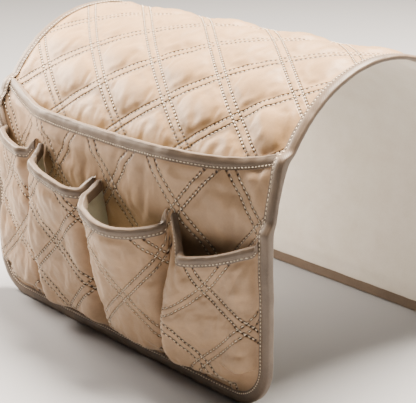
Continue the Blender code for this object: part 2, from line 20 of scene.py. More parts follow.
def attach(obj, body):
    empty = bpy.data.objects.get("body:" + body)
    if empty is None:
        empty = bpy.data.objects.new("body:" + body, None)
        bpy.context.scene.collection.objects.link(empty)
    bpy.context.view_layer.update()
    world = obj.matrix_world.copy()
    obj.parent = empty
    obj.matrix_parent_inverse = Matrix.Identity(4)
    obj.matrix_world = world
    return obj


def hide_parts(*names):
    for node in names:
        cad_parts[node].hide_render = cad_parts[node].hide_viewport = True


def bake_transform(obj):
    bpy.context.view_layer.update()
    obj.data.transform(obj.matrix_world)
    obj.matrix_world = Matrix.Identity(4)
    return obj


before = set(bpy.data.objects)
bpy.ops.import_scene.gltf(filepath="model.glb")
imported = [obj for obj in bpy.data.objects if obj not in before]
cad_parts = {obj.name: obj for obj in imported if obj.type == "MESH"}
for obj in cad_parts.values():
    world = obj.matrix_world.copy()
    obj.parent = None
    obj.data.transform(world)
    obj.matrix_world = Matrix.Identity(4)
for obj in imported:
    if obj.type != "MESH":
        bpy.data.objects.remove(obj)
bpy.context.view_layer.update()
LOG = logging.getLogger("organizer")
Array = np.ndarray
Creases = tuple[tuple[float, float, float, float, float, float], ...]
Socket = bpy.types.NodeSocket
RIPPLE_KNOTS = 97
RIPPLE_OCTAVES = 3
# Half of a stitch's length, as a share of the step from one stitch to the next
HALF_STITCH = 0.36


def ease(share: Array) -> Array:
    """Smooth rise from 0 to 1 for a share of the way."""
    share = np.clip(share, 0, 1)
    return share * share * (3 - 2 * share)


def ripple(across: Array, along: Array, seed: int) -> Array:
    """Uneven relief over a surface, between about -1 and 1.

    Args:
        across: Places in one direction, in wavelengths.
        along: Places in the other direction, in wavelengths.
        seed: Number that sets this relief apart from others.

    Returns:
        Height at each place.
    """
    size = RIPPLE_KNOTS
    knots = np.random.default_rng(seed).uniform(-1, 1, (size, size))
    across, along = np.broadcast_arrays(across, along)
    total = np.zeros(across.shape)
    for octave in range(RIPPLE_OCTAVES):
        a, b = across * 2**octave + 31.7 * octave, along * 2**octave + 17.3 * octave
        a_low, b_low = np.floor(a).astype(int), np.floor(b).astype(int)
        a_share, b_share = ease(a - a_low), ease(b - b_low)
        near = knots[a_low % size, b_low % size] * (1 - a_share) + knots[(a_low + 1) % size, b_low % size] * a_share
        far = knots[a_low % size, (b_low + 1) % size] * (1 - a_share)
        far = far + knots[(a_low + 1) % size, (b_low + 1) % size] * a_share
        total += (near * (1 - b_share) + far * b_share) / 1.8**octave
    return total / 1.3


def bilinear(grid: Array, row: Array, column: Array) -> Array:
    """Values of a grid between its points.

    Args:
        grid: Values, rows by columns, with any further axes.
        row: Places along the rows, in steps.
        column: Places along the columns, in steps.

    Returns:
        Value at each place.
    """
    row = np.clip(row, 0, grid.shape[0] - 1.000001)
    column = np.clip(column, 0, grid.shape[1] - 1.000001)
    r, c = row.astype(int), column.astype(int)
    rs, cs = row - r, column - c
    if grid.ndim > 2:
        rs, cs = rs[..., None], cs[..., None]
    near = grid[r, c] * (1 - cs) + grid[r, c + 1] * cs
    far = grid[r + 1, c] * (1 - cs) + grid[r + 1, c + 1] * cs
    return near * (1 - rs) + far * rs


def outward(points: Array) -> Array:
    """Normals of a grid of points, out of the face that columns and rows turn anticlockwise.

    Args:
        points: Grid of points, rows by columns by 3.

    Returns:
        Unit normals on the same grid.
    """
    normals = np.cross(np.gradient(points, axis=1), np.gradient(points, axis=0))
    return normals / np.maximum(np.linalg.norm(normals, axis=-1, keepdims=True), 1e-12)


def smoothed(values: Array, times: int, axis: int = 1) -> Array:
    """Grid of values with its folds rounded along one axis, and its ends kept.

    Args:
        values: Grid to round.
        times: How many passes.
        axis: Axis to round along.

    Returns:
        The rounded grid.
    """
    values = np.moveaxis(values.copy(), axis, 0)
    for _ in range(times):
        values[1:-1] = 0.25 * values[:-2] + 0.5 * values[1:-1] + 0.25 * values[2:]
    return np.moveaxis(values, 0, axis)


def creased(x: Array, s: Array, lines: Creases, fade: float = 0.004, bow: float = 0.06) -> Array:
    """Relief of single soft folds in the cloth.

    Args:
        x: Places across the flat cloth.
        s: Places along it.
        lines: First place, last place, width and height of each fold.
        fade: Length over which a fold fades at each end.
        bow: How far a fold bows sideways, as a share of its length.

    Returns:
        Height at each place.
    """
    total = np.zeros(np.broadcast(x, s).shape)
    for x0, s0, x1, s1, width, height in lines:
        length = math.hypot(x1 - x0, s1 - s0)
        ux, us = (x1 - x0) / length, (s1 - s0) / length
        along = (x - x0) * ux + (s - s0) * us
        across = -(x - x0) * us + (s - s0) * ux + bow * length * np.sin(math.pi * along / length)
        window = ease((along + fade) / (2 * fade)) * ease((length + fade - along) / (2 * fade))
        total = total + height * np.exp(-((across / width) ** 2)) * window
    return total


SADDLE_CREASES = (
    (0.121, 0.212, 0.137, 0.187, 0.0045, 0.0012),
    (0.143, 0.214, 0.153, 0.188, 0.0022, -0.0011),
    (0.104, 0.205, 0.118, 0.186, 0.0050, -0.0008),
    (-0.090, 0.212, -0.080, 0.187, 0.0050, 0.0008),
    (-0.020, 0.205, -0.014, 0.186, 0.0045, 0.0007),
    (0.060, 0.208, 0.066, 0.187, 0.0040, -0.0006),
)
MAGAZINE_CREASES = (
    (0.082, 0.152, 0.112, 0.157, 0.0020, -0.0008),
    (0.086, 0.157, 0.108, 0.161, 0.0022, 0.0006),
    (0.137, 0.171, 0.149, 0.146, 0.0030, 0.0009),
    (0.145, 0.172, 0.154, 0.152, 0.0018, -0.0008),
    (0.020, 0.160, 0.055, 0.150, 0.0025, -0.0006),
    (-0.110, 0.160, -0.080, 0.166, 0.0025, -0.0006),
)
POCKET_CREASES = (
    ((-0.135, 0.100, -0.118, 0.070, 0.0026, -0.0007), (-0.128, 0.060, -0.100, 0.052, 0.0024, 0.0006)),
    ((-0.062, 0.118, -0.044, 0.098, 0.0024, 0.0007), (-0.050, 0.050, -0.020, 0.040, 0.0024, -0.0006),
     (-0.030, 0.100, -0.022, 0.070, 0.0020, -0.0006)),
    ((0.025, 0.104, 0.060, 0.098, 0.0024, -0.0008), (0.028, 0.097, 0.056, 0.091, 0.0022, 0.0006),
     (0.052, 0.036, 0.082, 0.022, 0.0026, 0.0008), (0.058, 0.028, 0.084, 0.015, 0.0018, -0.0007)),
    ((0.156, 0.122, 0.144, 0.094, 0.0026, 0.0010), (0.150, 0.122, 0.139, 0.100, 0.0018, -0.0009),
     (0.158, 0.102, 0.150, 0.082, 0.0018, -0.0009), (0.142, 0.044, 0.158, 0.052, 0.0020, -0.0008),
     (0.140, 0.024, 0.158, 0.027, 0.0022, -0.0009), (0.086, 0.124, 0.098, 0.102, 0.0026, -0.0008),
     (0.094, 0.030, 0.112, 0.020, 0.0024, 0.0008)),
)


@dataclass(frozen=True)
class Strip:
    """The strip of cloth, the arm that it hangs on and the levels of its layers."""

    width: float = 0.330
    drop: float = 0.126
    roll: float = 0.103
    corner: float = 0.034
    roll_rows: int = 23
    hinge_rows: int = 5
    magazine_rows: int = 4
    edge_flat: float = 0.00996
    under_cover: float = 0.0018
    cover_top: float = 0.0040
    magazine_level: float = 0.0043
    magazine_top: float = 0.0065
    pocket_level: float = 0.0068
    pocket_stack: float = 0.0022
    pocket_mouth: float = 0.1345
    mouth_tilt: float = 0.0154
    mouth_curve: float = 0.0138
    lip_flat: float = 0.0096
    split_margin: float = 0.026
    edge_squeeze: float = 0.5
    squeeze_fade: float = 0.016
    mouth_drop: float = 0.0032
    mouth_fade: float = 0.009
    mouth_past: float = 0.006
    tape_room: float = 0.0015
    tape_ramp: float = 0.020
    sewn_inset: float = 0.0085
    press_inset: float = 0.0075
    relief_inset: float = 0.0065
    relief_fade: float = 0.004
    trim: float = 0.0003
    side_trim: float = 0.0002

    @property
    def row(self) -> float:
        """Step between the places where the solids bend."""
        return math.pi * self.roll / self.roll_rows

    @property
    def crown(self) -> float:
        """Place of the crown along the strip."""
        return self.drop + math.pi * self.roll / 2

    @property
    def roll_end(self) -> float:
        """Place where the back fall starts."""
        return self.drop + math.pi * self.roll

    @property
    def length(self) -> float:
        """Length of the strip from hem to hem."""
        return self.roll_end + self.drop

    @property
    def crown_flat(self) -> float:
        """Height of the crown's flat over the roll's axis."""
        return self.roll * math.cos(self.row / self.roll / 2)

    @property
    def magazine_mouth(self) -> float:
        """Place of the magazine pocket's mouth beside the binding."""
        return self.drop + self.magazine_rows * self.row

    @property
    def hinge(self) -> float:
        """Place of the front fold line."""
        return self.drop + self.hinge_rows * self.row

    @property
    def split(self) -> float:
        """Place behind the crown where the front and back pieces of cloth meet."""
        return self.length - self.hinge - self.split_margin

    def stack(self, x: Array, s: Array) -> Array:
        """Top of the layers that lie on one another at the edge of the strip."""
        top = self.row_top(x)
        magazine = self.magazine_top + self.mouth_room(s, self.magazine_mouth) - self.cover_top
        pocket_room = self.mouth_room(s + self.tape_ramp, top)
        pocket = self.pocket_level + self.pocket_stack + pocket_room - self.magazine_top
        magazine = magazine * ease((self.magazine_mouth - self.mouth_drop + self.mouth_past - s) / self.mouth_fade)
        pocket = pocket * ease((top + self.mouth_past - s) / self.mouth_fade)
        return self.cover_top + magazine + pocket

    def squeeze(self, x: Array, s: Array) -> Array:
        """Share of the layers' thickness that the pull of the edge binding leaves."""
        return 1 - self.edge_squeeze * (1 - ease((self.inset(x, s) - self.sewn_inset) / self.squeeze_fade))

    def beside_tape(self, x: Array, s: Array) -> Array:
        """Share of the cloth's folds that is left beside the edge binding: none under it."""
        return ease((self.inset(x, s) - self.relief_inset) / self.relief_fade)

    def drape(self, x: Array, s: Array, n: Array) -> Array:
        """Places on the arm of points of the flat cloth, with its layers squeezed up towards the edge binding.

        Args:
            x: Places across.
            s: Places along.
            n: Levels out from the arm.

        Returns:
            Points in the frame, with a last axis of 3.
        """
        room = np.maximum(self.stack(x, s) - n, 0)
        return self.lay(x, s, n + room * (1 - self.squeeze(x, s)))

    def lay(self, x: Array, s: Array, n: Array) -> Array:
        """Places on the arm of points of the flat cloth at their own levels.

        Args:
            x: Places across.
            s: Places along.
            n: Levels out from the arm.

        Returns:
            Points in the frame, with a last axis of 3.
        """
        turn = (np.clip(s, self.drop, self.roll_end) - self.crown) / self.roll
        reach = self.roll + n
        z = reach * np.cos(turn) - self.crown_flat
        z = z + np.minimum(s - self.drop, 0) + np.minimum(self.roll_end - s, 0)
        return np.stack(np.broadcast_arrays(x, reach * np.sin(turn), z), -1)

    def half_width(self, s: Array) -> Array:
        """Half the strip's width at s, less at its round corners."""
        rest = np.maximum(self.corner - np.minimum(s, self.length - s), 0)
        return self.width / 2 - self.corner + np.sqrt(np.maximum(self.corner**2 - rest**2, 0))

    def inset(self, x: Array, s: Array) -> Array:
        """Distance in from the edge of the strip, with its round corners."""
        hem, side = np.minimum(s, self.length - s), self.width / 2 - np.abs(x)
        round_in = self.corner - np.hypot(self.corner - side, self.corner - hem)
        return np.where((side < self.corner) & (hem < self.corner), round_in, np.minimum(side, hem))

    def narrowed(self, x: Array, s: Array) -> Array:
        """Places across the strip, drawn in beside its round corners."""
        fixed = self.width / 2 - self.corner - self.row
        share = (self.half_width(s) - fixed) / (self.width / 2 - fixed)
        return np.where(np.abs(x) <= fixed, x, np.sign(x) * (fixed + (np.abs(x) - fixed) * share))

    def row_top(self, x: Array) -> Array:
        """Place of the small pockets' mouth line, which curves up towards the left end."""
        share = 2 * x / self.width
        return self.pocket_mouth - self.mouth_tilt * share + self.mouth_curve * share**2

    def mouth_room(self, s: Array, mouth: Array) -> Array:
        """Room under a layer for the tape over its mouth."""
        return self.tape_room * ease((s - mouth + self.lip_flat + self.tape_ramp) / self.tape_ramp)


STRIP = Strip()


@dataclass(frozen=True)
class Lattice:
    """Diamond quilting of one piece: paired rows of stitches with a ridge between them."""

    anchor: float
    start: float
    pitch: float = 0.076
    rise: float = 4 * STRIP.row
    half_pair: float = 0.0030
    stitch_pitch: float = 0.0034
    crinkle_reach: float = 0.0065
    crinkle_step: float = 0.0060
    crinkle_length: float = 0.016
    crinkle_height: float = 0.00055
    crinkle_in_pair: float = 0.3
    slope_length: float = 0.0055
    ridge: float = 0.42

    @property
    def spacing(self) -> float:
        """Distance between two neighbouring quilt lines of one family."""
        return 1 / math.hypot(1 / self.pitch, 1 / self.rise)

    @property
    def run(self) -> float:
        """Length along a quilt line for one step of the other family."""
        return math.hypot(self.pitch, self.rise) / 2

    def shares(self, x: Array, s: Array) -> tuple[Array, Array]:
        """Places across the two families of quilt lines, whole numbers on a line."""
        across, along = (x - self.anchor) / self.pitch, (s - self.start) / self.rise
        return across - along, across + along

    def distances(self, x: Array, s: Array) -> tuple[Array, Array]:
        """Distances from the nearest quilt line of each family."""
        pair = self.shares(x, s)
        return tuple(np.abs(share - np.round(share)) * self.spacing for share in pair)

    def relief(self, x: Array, s: Array) -> Array:
        height = np.ones_like(x, dtype=float)
        for distance in self.distances(x, s):
            diamond = 1 - np.exp(-np.maximum(distance - self.half_pair, 0) / self.slope_length)
            ridge = self.ridge * np.sqrt(np.clip(1 - (distance / self.half_pair) ** 2, 0, 1))
            height = height * np.where(distance > self.half_pair, diamond, ridge)
        return height

    def crinkles(self, x: Array, s: Array, seed: int) -> Array:
        """Short puckers that the pull of the thread draws in the cloth beside its rows of stitches.

        Args:
            x: Places across the flat cloth.
            s: Places along it.
            seed: Number that sets these puckers apart from others.

        Returns:
            Height at each place.
        """
        shares, total = self.shares(x, s), np.zeros_like(x, dtype=float)
        for family, distance in enumerate(self.distances(x, s)):
            fading = np.exp(-(distance - self.half_pair) / self.crinkle_reach)
            beside = np.where(distance > self.half_pair, fading, self.crinkle_in_pair)
            along = shares[1 - family] * self.run / self.crinkle_step
            total += self.crinkle_height * beside * ripple(along, distance / self.crinkle_length, seed + family)
        return total


COVER_QUILT = Lattice(0.0645, STRIP.crown - STRIP.row / 2)
MAGAZINE_QUILT = Lattice(0.1188, 0.1690, 0.0700, 0.0746)
POCKET_QUILTS = (
    Lattice(-0.1120, 0.0693, 0.0620, 0.0640),
    Lattice(-0.0385, 0.0850, 0.0600, 0.0640),
    Lattice(0.0455, 0.0685, 0.0665, 0.0780),
    Lattice(0.1172, 0.1056, 0.0665, 0.0743),
)


@dataclass
class QuiltSheet:
    """One large piece of quilted cloth, puffed by a cloth simulation, that every quilted piece is cut from."""

    lattice: Lattice = COVER_QUILT
    columns: int = 160
    rows: int = 260
    reach: float = 0.19
    puff: float = 0.0034
    spare: float = 0.045
    pressure: float = 6.0
    frames: int = 20
    repeats: int = 11
    tall_percentile: float = 97
    most_sideways: float = 0.0012
    simulated_share: float = 0.8
    hold_width: float = 0.0010
    moves: Array = field(default_factory=lambda: np.zeros((2, 2, 3)))

    def sew(self) -> None:
        """Fill the moves of the cloth: across, along and out, as a share of the puff."""
        x = np.linspace(-self.reach, self.reach, self.columns + 1)
        s = np.linspace(0, self.length, self.rows + 1)
        grid_x, grid_s = np.meshgrid(x, s)
        worked_out = self.lattice.relief(grid_x, grid_s)
        self.moves = np.zeros((*grid_x.shape, 3))
        self.moves[..., 2] = worked_out
        puffed = self.simulate(grid_x, grid_s)
        tall = np.percentile(puffed[..., 2], self.tall_percentile)
        if tall <= 0:
            LOG.warning("the cloth did not rise, so its worked-out relief is kept")
            return
        scale = 1 / tall
        self.moves[..., :2] = np.clip(puffed[..., :2], -self.most_sideways, self.most_sideways)
        risen = np.clip(puffed[..., 2] * scale, -0.25, 1.35)
        self.moves[..., 2] = risen * self.simulated_share + worked_out * (1 - self.simulated_share)

    @property
    def length(self) -> float:
        """Length of the simulated cloth."""
        return self.repeats * self.lattice.rise

    def simulate(self, grid_x: Array, grid_s: Array) -> Array:
        """Puff the flat cloth between its stitch rows.

        Args:
            grid_x: Places across of the cloth's points.
            grid_s: Places along of the cloth's points.

        Returns:
            How far each point moved.
        """
        work = bmesh.new()
        bmesh.ops.create_grid(work, x_segments=self.columns, y_segments=self.rows, size=0.5)
        mesh = bpy.data.meshes.new("quilting_cloth")
        work.to_mesh(mesh)
        work.free()
        row, column = grid_places(mesh, self.rows, self.columns)
        flat = np.stack([grid_x[row, column], grid_s[row, column], np.zeros(len(row))], -1)
        mesh.vertices.foreach_set("co", flat.astype(np.float32).ravel())
        cloth = bpy.data.objects.new("quilting_cloth", mesh)
        bpy.context.scene.collection.objects.link(cloth)
        seams = cloth.vertex_groups.new(name="seams")
        near = np.min([np.abs(d - self.lattice.half_pair) for d in self.lattice.distances(*flat.T[:2])], axis=0)
        held = np.round(np.clip(1.6 - near / self.hold_width, 0, 1), 2)
        for weight in np.unique(held[held > 0]):
            seams.add([int(i) for i in np.flatnonzero(held == weight)], float(weight), "REPLACE")
        self.set_cloth(cloth)
        scene = bpy.context.scene
        scene.frame_start, scene.frame_end = 1, self.frames
        for number in range(1, self.frames + 1):
            scene.frame_set(number)
        shown = cloth.evaluated_get(bpy.context.evaluated_depsgraph_get())
        puffed = np.zeros(len(flat) * 3, np.float32)
        shown.data.vertices.foreach_get("co", puffed)
        moved = np.zeros((*grid_x.shape, 3))
        moved[row, column] = puffed.reshape(-1, 3) - flat
        scene.frame_set(1)
        bpy.data.objects.remove(cloth)
        bpy.data.meshes.remove(mesh)
        return moved

    def set_cloth(self, cloth: bpy.types.Object) -> None:
        """Give the flat cloth its stiffness, spare length and pressure."""
        modifier = cloth.modifiers.new("puff", "CLOTH")
        settings = modifier.settings
        settings.quality = 6
        settings.mass = 0.15
        settings.air_damping = 2.0
        settings.tension_stiffness = settings.compression_stiffness = 12
        settings.shear_stiffness = 6
        settings.bending_stiffness = 0.4
        settings.use_pressure = True
        settings.uniform_pressure_force = self.pressure
        settings.shrink_min = -self.spare
        settings.vertex_group_mass = "seams"
        settings.pin_stiffness = 1
        settings.effector_weights.gravity = 0
        modifier.collision_settings.use_collision = False
        modifier.point_cache.frame_start, modifier.point_cache.frame_end = 1, self.frames

    def cut(self, x: Array, s: Array, lattice: Lattice) -> Array:
        """Moves of the quilted cloth under another piece's lattice.

        Args:
            x: Places across the piece.
            s: Places along the piece.
            lattice: The piece's own quilting.

        Returns:
            Moves across, along and out at each place.
        """
        own = self.lattice
        x = (x - lattice.anchor) * own.pitch / lattice.pitch + own.anchor
        s = (s - lattice.start) * own.rise / lattice.rise + own.start
        steps = math.floor(float(np.min(s)) / own.rise)
        s = s - own.rise * (steps if float(np.max(s)) > self.length or steps < 0 else 0)
        x = x - own.pitch * round(float(np.mean(x)) / own.pitch)
        moves = bilinear(self.moves, s / self.length * self.rows, (x / self.reach + 1) / 2 * self.columns)
        return moves * np.array([1, 1, self.puff])


QUILT = QuiltSheet()


def grid_places(mesh: bpy.types.Mesh, rows: int, columns: int) -> tuple[Array, Array]:
    """Row and column of each vertex of a grid mesh of unit size."""
    places = np.zeros(len(mesh.vertices) * 3)
    mesh.vertices.foreach_get("co", places)
    places = places.reshape(-1, 3)
    return np.round((places[:, 1] + 0.5) * rows).astype(int), np.round((places[:, 0] + 0.5) * columns).astype(int)


def cloth_piece(name: str, outer: Array, inner: Array, flat: Array, finish: bpy.types.Material) -> bpy.types.Object:
    """Closed piece of cloth between two grids of points.

    Args:
        name: Name of the piece.
        outer: Grid of points of the side that shows.
        inner: Grid of points of the other side.
        flat: Places of the same points on the flat cloth, for the weave and the stitch lines.
        finish: Its material.

    Returns:
        The finished object.
    """
    rows, columns = outer.shape[0] - 1, outer.shape[1] - 1
    work = bmesh.new()
    bmesh.ops.create_grid(work, x_segments=columns, y_segments=rows, size=0.5)
    bmesh.ops.solidify(work, geom=work.faces[:], thickness=1)
    mesh = bpy.data.meshes.new(name)
    work.to_mesh(mesh)
    work.free()
    row, column = grid_places(mesh, rows, columns)
    depth = np.zeros(len(mesh.vertices) * 3)
    mesh.vertices.foreach_get("co", depth)
    shows = np.abs(depth.reshape(-1, 3)[:, 2]) < 0.5
    places = np.where(shows[:, None], outer[row, column], inner[row, column])
    mesh.vertices.foreach_set("co", places.astype(np.float32).ravel())
    turn_out(mesh)
    uv = mesh.uv_layers.new(name="Cloth")
    corners = np.zeros(len(mesh.loops), int)
    mesh.loops.foreach_get("vertex_index", corners)
    uv.data.foreach_set("uv", flat[row, column][corners].astype(np.float32).ravel())
    mesh.shade_smooth()
    mesh.set_sharp_from_angle(angle=math.radians(75))
    mesh.materials.append(finish)
    piece = bpy.data.objects.new(name, mesh)
    bpy.context.scene.collection.objects.link(piece)
    return piece


def turn_out(mesh: bpy.types.Mesh) -> None:
    """Turn the faces of a closed mesh out, by the sign of its volume."""
    mesh.update()
    mesh.calc_loop_triangles()
    points = np.zeros(len(mesh.vertices) * 3)
    mesh.vertices.foreach_get("co", points)
    index = np.zeros(len(mesh.loop_triangles) * 3, int)
    mesh.loop_triangles.foreach_get("vertices", index)
    a, b, c = np.moveaxis(points.reshape(-1, 3)[index.reshape(-1, 3)], 1, 0)
    if np.einsum("ij,ij->", a, np.cross(b, c)) < 0:
        mesh.flip_normals()
        mesh.update()


@dataclass
class Surface:
    """A grid of points of a piece's outer side, with the flat places of its points."""

    points: Array
    x: Array
    s: Array
    lip: float = 0.0

    def at(self, x: Array, s: Array) -> tuple[Array, Array]:
        """Points of the surface at flat places.

        Args:
            x: Places across the flat cloth.
            s: Places along the flat cloth.

        Returns:
            The points, and whether each place is on the surface.
        """
        first, last = self.s[0, 0], self.s[-1]
        row = (s - first) / (last.mean() - first) * (len(self.s) - 1)
        for _ in range(3):
            row = np.clip(row, 0, len(self.s) - 1.001)
            low, share = row.astype(int), (row % 1)[:, None]
            across = self.x[low] * (1 - share) + self.x[low + 1] * share
            column = np.array([np.interp(place, line, np.arange(len(line))) for place, line in zip(x, across)])
            top = np.interp(column, np.arange(len(last)), last)
            row = (s - first) / (top - first) * (len(self.s) - 1)
        inside = (x > across[:, 0]) & (x < across[:, -1]) & (s > first) & (s < top - self.lip)
        return bilinear(self.points, row, column), inside


def stitch_piece(name: str, starts: Array, ends: Array, sides: Array, finish: bpy.types.Material,
                 width: float = 0.00052) -> bpy.types.Object:
    """Stitches of thread, each a small grain that lies from its start to its end.

    Args:
        name: Name of the piece.
        starts: First ends of the stitches.
        ends: Other ends of the stitches.
        sides: Points beside the starts on the cloth, which give the cloth's slope.
        finish: The thread's material.
        width: Half the width of a stitch.

    Returns:
        The finished object.
    """
    work = bmesh.new()
    bmesh.ops.create_icosphere(work, subdivisions=1, radius=1)
    template = bpy.data.meshes.new("stitch")
    work.to_mesh(template)
    work.free()
    grain = np.array([vertex.co for vertex in template.vertices])
    faces = np.array([face.vertices for face in template.polygons])
    bpy.data.meshes.remove(template)
    along = (ends - starts) / 2
    lengths = np.linalg.norm(along, axis=1, keepdims=True)
    across = sides - starts
    up = np.cross(along, across)
    up /= np.maximum(np.linalg.norm(up, axis=1, keepdims=True), 1e-12)
    across = np.cross(up, along) / np.maximum(lengths, 1e-12)
    middle = (starts + ends) / 2 + up * width * 0.35
    points = middle[:, None] + grain[None, :, :1] * along[:, None] + grain[None, :, 1:2] * across[:, None] * width
    points = points + grain[None, :, 2:] * up[:, None] * width * 0.9
    index = (faces[None] + np.arange(len(starts))[:, None, None] * len(grain)).reshape(-1, 3)
    mesh = bpy.data.meshes.new(name)
    mesh.from_pydata(points.reshape(-1, 3).tolist(), [], index.tolist())
    turn_out(mesh)
    mesh.shade_smooth()
    mesh.materials.append(finish)
    piece = bpy.data.objects.new(name, mesh)
    bpy.context.scene.collection.objects.link(piece)
    return piece


def quilt_stitches(surface: Surface, lattice: Lattice, margin: tuple[float, float]) -> tuple[Array, Array, Array]:
    """Ends of the stitches of a piece's paired rows.

    Args:
        surface: The piece's outer side.
        lattice: Its quilting.
        margin: First and last place along the cloth that stitches reach.

    Returns:
        Starts, ends and side points of the stitches.
    """
    found = []
    low_x, high_x = float(surface.x.min()), float(surface.x.max())
    step = lattice.stitch_pitch / lattice.run
    for family in (-1, 1):
        corners_x, corners_s = np.meshgrid([low_x, high_x], margin)
        shares = lattice.shares(corners_x, corners_s)
        own, other = (shares[0], shares[1]) if family < 0 else (shares[1], shares[0])
        for line in range(math.floor(own.min()), math.ceil(own.max()) + 1):
            for offset in (-1, 1):
                place = line + offset * lattice.half_pair / lattice.spacing
                along = np.arange(math.floor(other.min()), math.ceil(other.max()) + 1, step)
                found.append(np.stack([np.full_like(along, place), along, np.full_like(along, family)], -1))
    rows = np.concatenate(found)

    def flat(rows: Array, move: float, side: float) -> tuple[Array, Array]:
        own, other, family = rows[:, 0] + side, rows[:, 1] + move * step, rows[:, 2]
        first, second = np.where(family < 0, own, other), np.where(family < 0, other, own)
        across, along = (first + second) / 2, (second - first) / 2
        return lattice.anchor + across * lattice.pitch, lattice.start + along * lattice.rise

    x, s = flat(rows, 0, 0)
    keep = (x > low_x) & (x < high_x) & (s > margin[0]) & (s < margin[1])
    keep &= STRIP.inset(x, s) > STRIP.sewn_inset
    rows = rows[keep]
    points, inside = [], np.ones(len(rows), bool)
    for move, side in ((-HALF_STITCH, 0), (HALF_STITCH, 0), (-HALF_STITCH, 0.02)):
        place, on = surface.at(*flat(rows, move, side))
        points.append(place)
        inside &= on
    return tuple(point[inside] for point in points)


@dataclass(frozen=True)
class Tape:
    """Folded binding tape, swept along an edge."""

    thickness: float = 0.0008
    lip: float = 0.0080
    fit: float = 0.0003
    beyond: float = 0.0003
    nose: float = 0.0016
    pucker: float = 0.00026
    samples: int = 9
    row_inset: float = 0.0017
    dent_width: float = 0.0009
    dent_depth: float = 0.00035
    swell_length: float = 0.0065
    swell_height: float = 0.00045
    curl_length: float = 0.0006
    curl_depth: float = 0.0003
    crimp_step: float = 0.0075
    slow_step: float = 0.03

    def profile(self, under: Array, over: Array, shrink: float) -> Array:
        """Section of the tape at each station.

        Args:
            under: Lower level of the cloth in the fold.
            over: Upper level of the cloth in the fold.
            shrink: How far in from the outer side, 0 or the thickness.

        Returns:
            Out and up of each point of the section, stations by points by 2.
        """
        low, high = under - self.fit - self.thickness + shrink, over + self.fit + self.thickness - shrink
        edge = self.beyond + self.thickness - shrink
        half, middle = (high - low) / 2, (high + low) / 2
        bend = np.minimum(half, self.nose)
        turns = np.linspace(-math.pi / 2, math.pi / 2, 2 * self.samples)
        nose_out = edge - bend[:, None] + bend[:, None] * np.cos(turns)
        nose_up = middle[:, None] + (half - bend)[:, None] * np.sign(turns) + bend[:, None] * np.sin(turns)
        shares = np.linspace(0, 1, self.samples)[:-1]
        leg_out = -self.lip + (edge - bend[:, None] + self.lip) * shares
        low_up = np.broadcast_to(low[:, None], leg_out.shape)
        past_row = leg_out + self.lip - self.row_inset
        dent = self.dent_depth * np.exp(-((past_row / self.dent_width) ** 2))
        swell = self.swell_height * np.sin(math.pi * np.clip(past_row / self.swell_length, 0, 1))
        curl = self.curl_depth * np.exp(-((leg_out + self.lip) / self.curl_length))
        high_up = high[:, None] - dent + swell - curl
        out = np.concatenate([leg_out, nose_out, leg_out[:, ::-1]], 1)
        up = np.concatenate([low_up, nose_up, high_up[:, ::-1]], 1)
        return np.stack([out, up], -1)

    def sweep(self, path: TapePath, seed: int) -> tuple[Array, Array, Array]:
        """Grids of the tape's two sides and the flat places of its points.

        Args:
            path: Stations of the edge that the tape folds over.
            seed: Number of its own ripple.

        Returns:
            Outer grid, inner grid and flat places.
        """
        length = path.length()
        grids = []
        for shrink in (0.0, self.thickness * 0.9):
            section = self.profile(path.under, path.over, shrink)
            out, up = section[..., 0], section[..., 1]
            shares = np.linspace(0, 1, out.shape[1])
            upper = ease((shares - 0.35) / 0.3)
            crimp = ripple(length[:, None] / self.crimp_step + shares * 0.6, shares[None] * 2.2, seed)
            slow = ripple(length[:, None] / self.slow_step, shares[None] * 1.0, seed + 9)
            up = up + self.pucker * upper * (crimp + 0.9 * slow)
            out = out + self.pucker * 0.7 * (crimp * (1 - upper * 0.5) + slow)
            points = path.point[:, None] + path.out[:, None] * out[..., None] + path.up[:, None] * up[..., None]
            grids.append(np.moveaxis(points, 0, 1))
        across = np.cumsum(np.linalg.norm(np.diff(grids[0], axis=0, prepend=grids[0][:1]), axis=-1), axis=0)
        flat = np.stack([np.broadcast_to(length, across.shape), across], -1)
        return grids[0], grids[1], flat

    def stitches(self, path: TapePath, outer: Array, pitch: float = 0.0028) -> tuple[Array, Array, Array]:
        """Ends of the stitches of the row along the tape's outer lip.

        Args:
            path: Stations of the edge.
            outer: Grid of the tape's outer side.
            pitch: Distance between two stitches.

        Returns:
            Starts, ends and side points of the stitches.
        """
        section = self.profile(path.under[:1], path.over[:1], 0.0)[0]
        upper = np.arange(len(section) - self.samples + 1, len(section))
        row = np.interp(self.lip - self.row_inset, -section[upper, 0], upper)
        length = path.length()
        marks = np.arange(pitch, length[-1] - pitch, pitch)
        places = []
        for move, side in ((-HALF_STITCH, 0), (HALF_STITCH, 0), (-HALF_STITCH, -0.4)):
            column = np.interp(marks + move * pitch, length, np.arange(len(length)))
            places.append(bilinear(outer, np.full_like(column, row + side), column))
        return tuple(places)


@dataclass
class TapePath:
    """Stations of an edge: its points, the ways out of and through the cloth, and the cloth's two levels."""

    point: Array
    out: Array
    up: Array
    under: Array
    over: Array

    def length(self) -> Array:
        """Length along the edge at each station."""
        steps = np.linalg.norm(np.diff(self.point, axis=0), axis=1)
        return np.concatenate([[0.0], np.cumsum(steps)])


class Weave(Enum):
    """How a cloth is woven, with the spacing of its threads in the render, in metres."""

    SATIN = 0.0007
    TWILL = 0.0009
    PLAIN = 0.0008


def to_linear(colour: str) -> tuple[float, float, float, float]:
    """Linear colour of an sRGB hex value."""
    parts = [int(colour[i:i + 2], 16) / 255 for i in (1, 3, 5)]
    linear = [part / 12.92 if part <= 0.04045 else ((part + 0.055) / 1.055) ** 2.4 for part in parts]
    return (*linear, 1.0)


